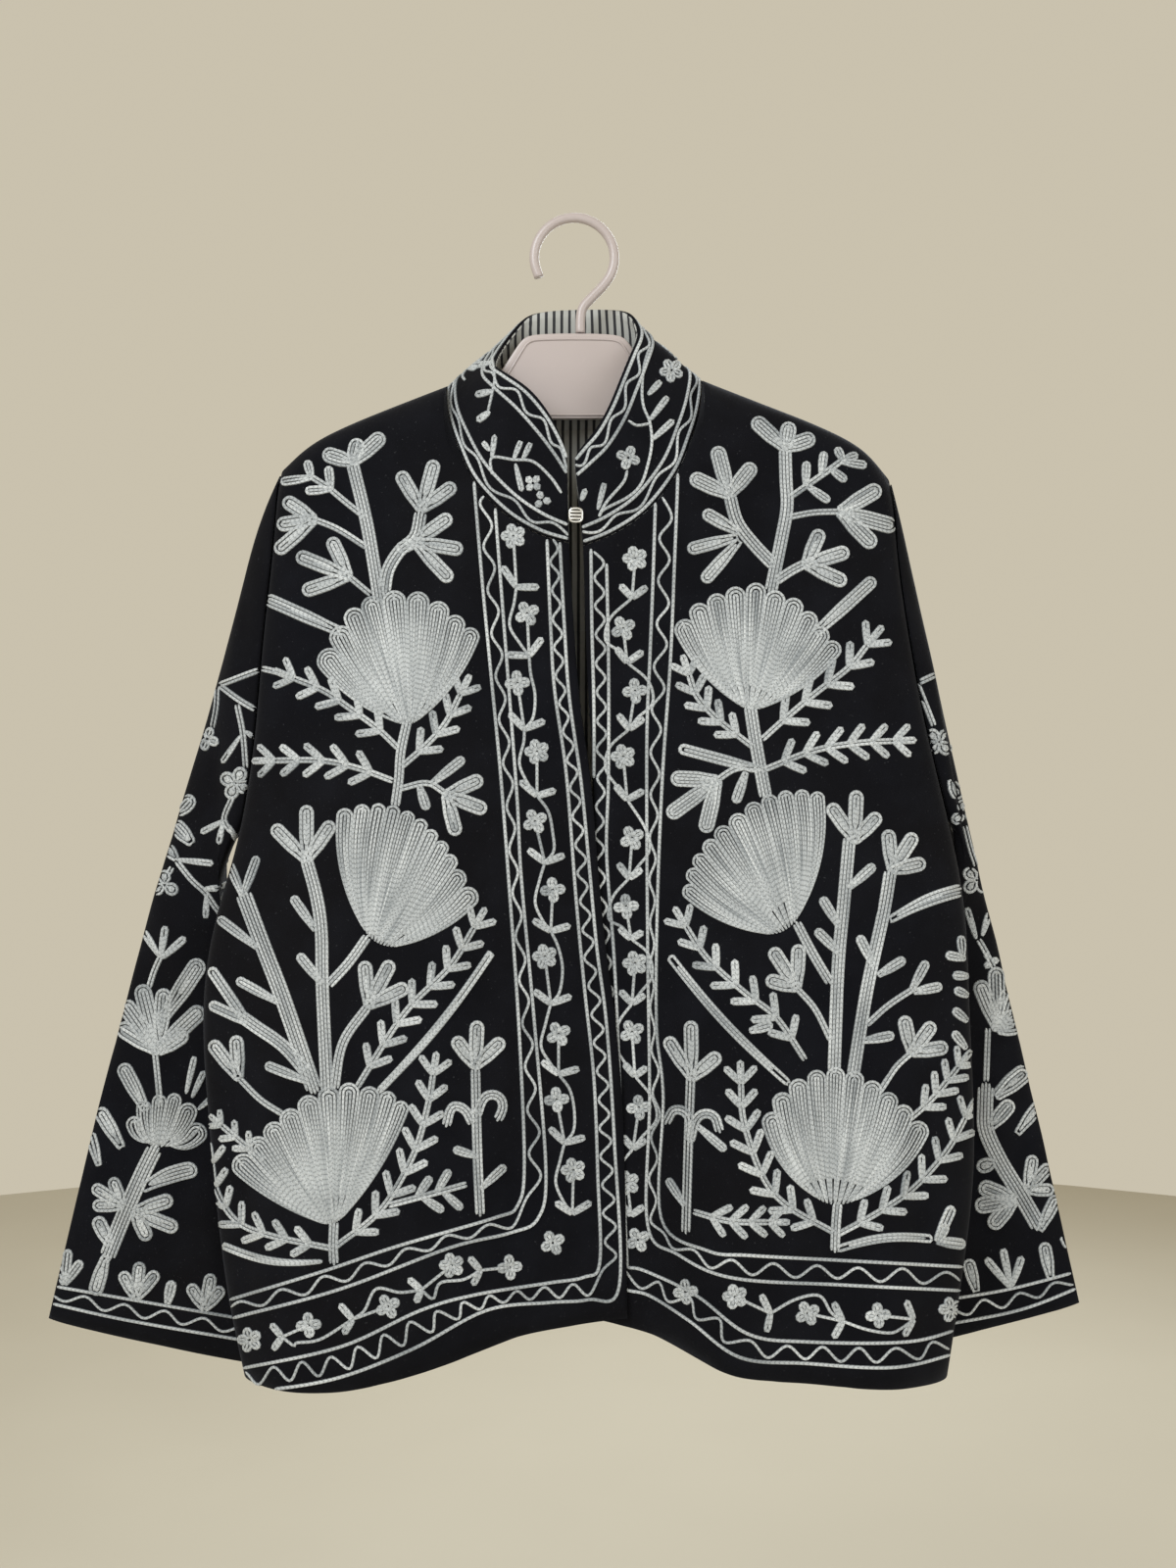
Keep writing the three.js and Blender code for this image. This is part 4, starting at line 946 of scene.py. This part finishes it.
def left_sleeve_chart(g):
    g.stem([(936, 697), (953, 689), (964, 684)])
    g.stem([(936, 698), (944, 718), (953, 741)])
    g.blossom((958, 757), 45, 4, 17, 7.6)
    g.leaf((970, 796), (979, 816), 7)
    g.blossom((983, 830), 20, 3, 15, 7)
    g.stem([(984, 842), (990, 866), (996, 884)])
    g.blossom((996, 898), 45, 4, 17, 7.6)
    g.twigs(((996, 958), (986, 925)), ((1002, 955), (1010, 929)), half=4)
    g.stem([(998, 958), (1005, 970), (1014, 988)])
    g.blossom((1010, 980), 0, 3, 10, 5)
    g.tulip((1018, 1050), (1016, 986), (998, 1000), (1030, 1008), (1038, 1032), (1044, 1046), half=9)
    g.stem([(1008, 1048), (1007, 1076), (1006, 1104)])
    g.stem([(1006, 1104), (1005, 1130), (1006, 1153), (1020, 1184), (1040, 1217), (1062, 1255)], 5)
    g.leaf((1061, 1255), (1079, 1219), 7)
    g.leaf((1016, 1118), (1050, 1090), 10)
    g.leaf((1010, 1150), (1033, 1123), 8.5)
    g.leaf((1038, 1156), (1064, 1122), 7)
    g.leaf((1014, 1186), (996, 1192), 8)
    g.tulip((1048, 1214), (1054, 1178), (1072, 1188), (1076, 1214), half=7)
    g.tulip((1035, 1224), (998, 1209), (994, 1231), (1010, 1253), half=9)
    g.leaf((996, 1317), (987, 1284), 7)
    g.twigs(((1031, 1314), (1005, 1283)), ((1031, 1312), (1023, 1273)), ((1032, 1313), (1043, 1281)), half=4.4)
    g.leaf((1072, 1304), (1065, 1267), 7)
    g.leaf((1083, 1262), (1094, 1276), 5)
    g.band([(966, 1326), (1031, 1315), (1108, 1295)], [(962, 1352), (1042, 1336), (1112, 1309)], 38, sweep=0.5)


def collar_front_chart(g):
    g.sew([(612, 527), (616, 520), (641, 507), (654, 494), (661, 474), (665, 452), (663, 431), (657, 416),
            (655, 400), (657, 374), (663, 354)])
    g.twigs(((665, 449), (688, 428)), ((663, 429), (682, 404)), ((661, 403), (675, 388)), half=3.6)
    g.sew([(663, 432), (650, 434), (641, 429)])
    g.blossom((685, 378), 25, 5, 13, 5.2)
    g.blossom((641, 467), 20, 4, 13, 5.2)
    g.sew([(640, 480), (636, 492), (619, 512), (611, 527)])
    g.twigs(((610, 520), (617, 492)), ((593, 511), (598, 498)), half=3.0)
    g.sew([(502, 484), (502, 467), (524, 469), (544, 471), (562, 487), (573, 503)])
    g.twigs(((502, 468), (505, 443)), ((524, 469), (532, 449)), ((533, 470), (542, 451)), ((526, 473), (533, 502)),
            ((500, 460), (492, 450)), half=3.0)
    g.blossom((544, 493), 40, 4, 10, 4.6)
    g.blossom((553, 510), 10, 3, 10, 4.6)
    g.sew([(498, 420), (503, 398), (505, 384), (502, 364)])
    g.twigs(((503, 399), (484, 403)), ((503, 370), (480, 374)), ((520, 362), (517, 347)), ((500, 420), (486, 430)),
            half=4.2)


# ---- Making ----
def collar_frame(step):
    """Seam and top edge of the collar at a step along its length."""
    i = min(len(COLLAR_SEAM) - 2, max(0, int(step)))
    t = step - i
    knots = (max(0, i - 1), i, i + 1, min(len(COLLAR_SEAM) - 1, i + 2))
    return [curve_point(*(Vector(table[k]) for k in knots), t) * MM for table in (COLLAR_SEAM, COLLAR_TOP)]


def collar_place(ground, step, up):
    """A place on the collar's outer face, given the way along it and the share up from the seam."""
    seam, top = collar_frame(step)
    behind_seam, behind_top = collar_frame(max(0.0, step - 0.05))
    ahead_seam, ahead_top = collar_frame(min(19.999, step + 0.05))
    way = ahead_seam.lerp(ahead_top, up) - behind_seam.lerp(behind_top, up)
    out = way.cross(top - seam).normalized()
    middle = seam.lerp(top, up)
    axis = Vector((0, -0.005, middle.z))
    if out.dot(middle - axis) < 0:
        out = -out
    hit, normal, _, _ = ground.tree.ray_cast(middle + out * 12 * MM, -out, 24 * MM)
    if hit is None:
        return None
    return hit, (normal if normal.dot(out) > 0 else -normal)


def collar_all_round(g):
    """Edge lines and their waves, run round the whole collar."""
    def where(across, down):
        return collar_place(g, min(19.96, max(0.04, across / COLLAR_STEP)), min(0.985, max(0.015, down / 84)))

    def line(down):
        return [(k * COLLAR_STEP * 0.5, down) for k in range(0, 41)]

    g.band(line(4), line(17), 31, where, 0.5)
    g.band(line(66), line(80), 31, where, 0.5)
    for k, step in enumerate((6.2, 7.6, 9.0, 10.4, 11.8, 13.2)):
        across = step * COLLAR_STEP
        if k % 2:
            g.blossom((across, 42), 30, 5, 12, 5, where)
        else:
            for tip in ((-14, 54), (0, 58), (14, 54)):
                g.leaf((across, 32), (across + tip[0], tip[1]), 4, where=where)
        g.sew([(across - 18, 36), (across - 8, 28), (across + 8, 30), (across + 17, 38)], ROW, where)


def back_chart(g):
    g.eye = BACK_EYE
    g.step = BACK_STITCH_STEP
    right_front_fields(g)
    left_front_fields(g)
    g.tulip((590, 470), (560, 444), (590, 428), (620, 444), half=7)
    g.stem([(590, 470), (588, 540), (592, 620)], 3)
    g.twigs(((589, 520), (556, 500)), ((589, 530), (624, 508)), ((590, 568), (554, 556)), ((590, 576), (628, 560)))
    g.fan_flower((590, 760), [(520, 690), (526, 668), (542, 650), (563, 638), (588, 634), (613, 638), (634, 650),
            (650, 668), (658, 690)])
    g.stem([(590, 760), (588, 860), (592, 960)], 3)
    for fern in ([(590, 800), (560, 782), (530, 776)], [(590, 806), (620, 786), (652, 780)],
                 [(590, 880), (616, 858), (650, 850)]):
        g.fern(fern, 22, 3.4, 22)
    g.fan_flower((592, 1080), [(532, 1012), (546, 990), (568, 976), (592, 972), (616, 976), (638, 990), (652, 1012)])
    g.stem([(592, 1080), (590, 1180), (592, 1280)], 3)
    for fern in ([(590, 1130), (562, 1108), (540, 1078)], [(592, 1136), (622, 1112), (646, 1082)],
                 [(592, 1250), (620, 1222), (650, 1206)], [(590, 1246), (562, 1222), (530, 1206)]):
        g.fern(fern, 22, 3.4, 22)
    upper = [(215, 1326), (333, 1312), (480, 1300), (590, 1296), (710, 1300), (860, 1311), (990, 1324)]
    lower = [(215, 1348), (333, 1334), (480, 1322), (590, 1318), (710, 1322), (860, 1333), (990, 1346)]
    g.band(upper, lower, 36)
    upper = [(215, 1404), (333, 1388), (480, 1374), (590, 1370), (710, 1374), (860, 1386), (990, 1400)]
    lower = [(215, 1420), (333, 1404), (480, 1391), (590, 1387), (710, 1391), (860, 1402), (990, 1416)]
    g.band(upper, lower, 21)
    middle = smooth_line([(240, 1374), (333, 1362), (480, 1348), (590, 1344), (710, 1348), (860, 1360), (970, 1372)],
            62)
    g.vine([(p.x, p.y) for p in middle], [((p.x + 30, p.y), (p.x + 20, p.y - 16),
            (p.x + 22, p.y + 15)) for p in middle[:-1]])


def body_core(point):
    return Vector((point.x * 0.55, -0.012, point.z))


def collar_core(point):
    return Vector((0, -0.012, point.z + 0.01))


def collar_run(point):
    """Length round the collar at a point, for stripes that stand upright on it."""
    best, run, gone = 9.0, 0.0, 0.0
    for a, b in zip(COLLAR_MIDDLE, COLLAR_MIDDLE[1:]):
        ab = b - a
        t = min(1.0, max(0.0, (point - a).dot(ab) / ab.length_squared))
        far = (point - a - ab * t).length_squared
        if far < best:
            best, run = far, gone + ab.length * t
        gone += ab.length
    return run


COLLAR_MIDDLE = [sum(collar_frame(step), Vector()) * 0.5 for step in [k * 0.5 for k in range(40)] + [19.99]]

CLOTH_PIECES = [
    ("back", BACK_CREASES, body_core, straight_run, (0.56, 0.70), 0.343, 11),
    ("right_front", RIGHT_FRONT_CREASES, body_core, straight_run, (0.29, 0.66), 0.173, 23),
    ("left_front", LEFT_FRONT_CREASES, body_core, straight_run, (0.29, 0.66), 0.172, 37),
    ("right_sleeve", RIGHT_SLEEVE_CREASES, None, sleeve_run, (0.24, 0.60), 0.103, 41),
    ("left_sleeve", LEFT_SLEEVE_CREASES, None, sleeve_run, (0.19, 0.60), 0.080, 53),
    ("collar", COLLAR_CREASES, collar_core, collar_run, (0.50, 0.062), 0.0257, 67),
]


def make_cloth():
    made = {}
    for node, table, core, run, flat, area, seed in CLOTH_PIECES:
        piece = finished_mesh(rejoined(node), node + "_cloth", 2, [CLOTH, LINING] if core else [CLOTH], core)
        settle(piece, node, table, seed, 0.35 if node == "collar" else 1.0)
        mark_stripes(piece, run)
        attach(piece, "root")
        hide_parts(node)
        made[node] = (piece, flat, area, seed)
    return made


def embroider(made):
    charts = {
        "back": [back_chart],
        "right_front": [right_front_borders, right_front_fields],
        "left_front": [left_front_borders, left_front_fields],
        "right_sleeve": [right_sleeve_chart],
        "left_sleeve": [left_sleeve_chart],
        "collar": [collar_all_round, collar_front_chart],
    }
    for node, (piece, flat, area, seed) in made.items():
        ground = Ground(piece, node + "_embroidery", seed)
        for chart in charts[node]:
            chart(ground)
        if node.endswith("_sleeve"):
            ground.eye = BACK_EYE
            for chart in charts[node]:
                chart(ground)
        threads = ground.finished()


def make_linings():
    for node, table, flat, area, run, seed in (
        ("collar_lining", [], (0.50, 0.060), 0.0249, collar_run, 71),
        ("neck_lining", NECK_LINING_CREASES, (0.136, 0.147), 0.0199, straight_run, 73),
    ):
        piece = finished_mesh(rejoined(node), node + "_cloth", 1, [LINING])
        settle(piece, node, table, seed, 0.15)
        mark_stripes(piece, run)
        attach(piece, "root")
        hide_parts(node)


def make_hanger():
    for node, levels in (("hanger_hook", 1), ("hanger_body", 2)):
        piece = finished_mesh(rejoined(node), node + "_smooth", levels, [PLASTIC], cut_angle=1.2, hold=0.75)
        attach(piece, "root")
        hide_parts(node)


def drawn_wire(name, points, bar, finish, closed=True):
    """A round bar bent through points given in mm."""
    line = bpy.data.curves.new(name, "CURVE")
    line.dimensions = "3D"
    line.bevel_depth = bar / 2 * MM
    line.bevel_resolution = 3
    run = line.splines.new("NURBS")
    run.points.add(len(points) - 1)
    for knot, (x, y, z) in zip(run.points, points):
        knot.co = (x * MM, y * MM, z * MM, 1)
    run.order_u = 3
    run.use_cyclic_u = closed
    run.use_endpoint_u = not closed
    line.use_fill_caps = not closed
    bent = linked(name + "_line", line)
    mesh = evaluated_mesh(bent)
    bpy.data.objects.remove(bent)
    mesh.materials.clear()
    mesh.materials.append(finish)
    smoothed(mesh)
    wire = linked(name, mesh)
    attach(wire, "root")
    return wire


def make_small_parts():
    """Raised beads of the hanger's plate, and the wire hook and eye."""
    front = -3.0
    bead = [(-25, front, -84), (25, front, -84), (33, front, -86), (37, front, -92), (49, front, -112),
            (62, front, -127), (64, front, -134), (58, front, -138), (-58, front, -138), (-64, front, -134),
            (-62, front, -127), (-49, front, -112), (-37, front, -92), (-33, front, -86)]
    drawn_wire("plate_bead", bead, 1.7, PLASTIC)
    rear = [(x, -y, z) for x, y, z in bead]
    drawn_wire("plate_bead_rear", rear, 1.7, PLASTIC)
    eye = [(-2.6, -54.2, -213.4), (1.5, -54.4, -212.8), (5.6, -54.2, -213.4), (6.0, -54.0, -217.6),
            (5.6, -53.8, -221.6), (1.5, -53.8, -222.2), (-2.6, -53.8, -221.6), (-3.0, -54.0, -217.6)]
    hook = drawn_wire("closure_eye", eye, 1.5, METAL)
    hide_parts("closure_hook")
    for k, z in enumerate((-215.2, -217.5, -219.8)):
        bar = [(-2.6, -54.0, z), (1.5, -54.7, z), (5.6, -54.0, z)]
        drawn_wire("closure_bar_%d" % k, bar, 1.8, METAL, False)


def make_stage():
    bm = bmesh.new()
    bmesh.ops.create_circle(bm, cap_ends=True, radius=3.0, segments=64)
    bmesh.ops.translate(bm, verts=bm.verts, vec=(0, 0, FLOOR_HEIGHT))
    mesh = bpy.data.meshes.new("floor")
    bm.to_mesh(mesh)
    bm.free()
    mesh.materials.append(FLOOR)
    floor = linked("floor", mesh)
    world = bpy.data.worlds.new("room")
    bpy.context.scene.world = world
    world.use_nodes = True
    sky = world.node_tree.nodes["Background"]
    sky.inputs[0].default_value = (0.62, 0.565, 0.445, 1)
    sky.inputs[1].default_value = 0.95
    lamps = (
        ("window", (-1.2, -1.7, 0.9), 1.3, 44, (0.84, 0.92, 1.0)),
        ("fill", (1.6, -1.5, -0.2), 1.6, 16, (0.84, 0.92, 1.0)),
        ("low", (0.1, -1.8, -1.0), 1.4, 8, (0.88, 0.94, 1.0)),
        ("rear", (0.6, 1.8, 0.6), 1.6, 34, (0.86, 0.93, 1.0)),
    )
    for name, place, size, power, colour in lamps:
        lamp = bpy.data.lights.new(name, "AREA")
        lamp.size = size
        lamp.energy = power
        lamp.color = colour
        lit = linked(name, lamp)
        lit.location = place
        lit.rotation_euler = (Vector((0, 0, -0.45)) - Vector(place)).to_track_quat("-Z", "Y").to_euler()


def make_camera():
    view = bpy.data.cameras.new("view")
    view.sensor_width = 36
    view.lens = 36 * EYE_REACH / FRAME_WIDTH
    eye = linked("view", view)
    eye.location = FRONT_EYE
    eye.rotation_euler = (math.pi / 2, 0, 0)
    bpy.context.scene.camera = eye
    bpy.context.scene.view_settings.view_transform = "Standard"


make_camera()
make_stage()
make_hanger()
make_small_parts()
make_linings()
embroider(make_cloth())
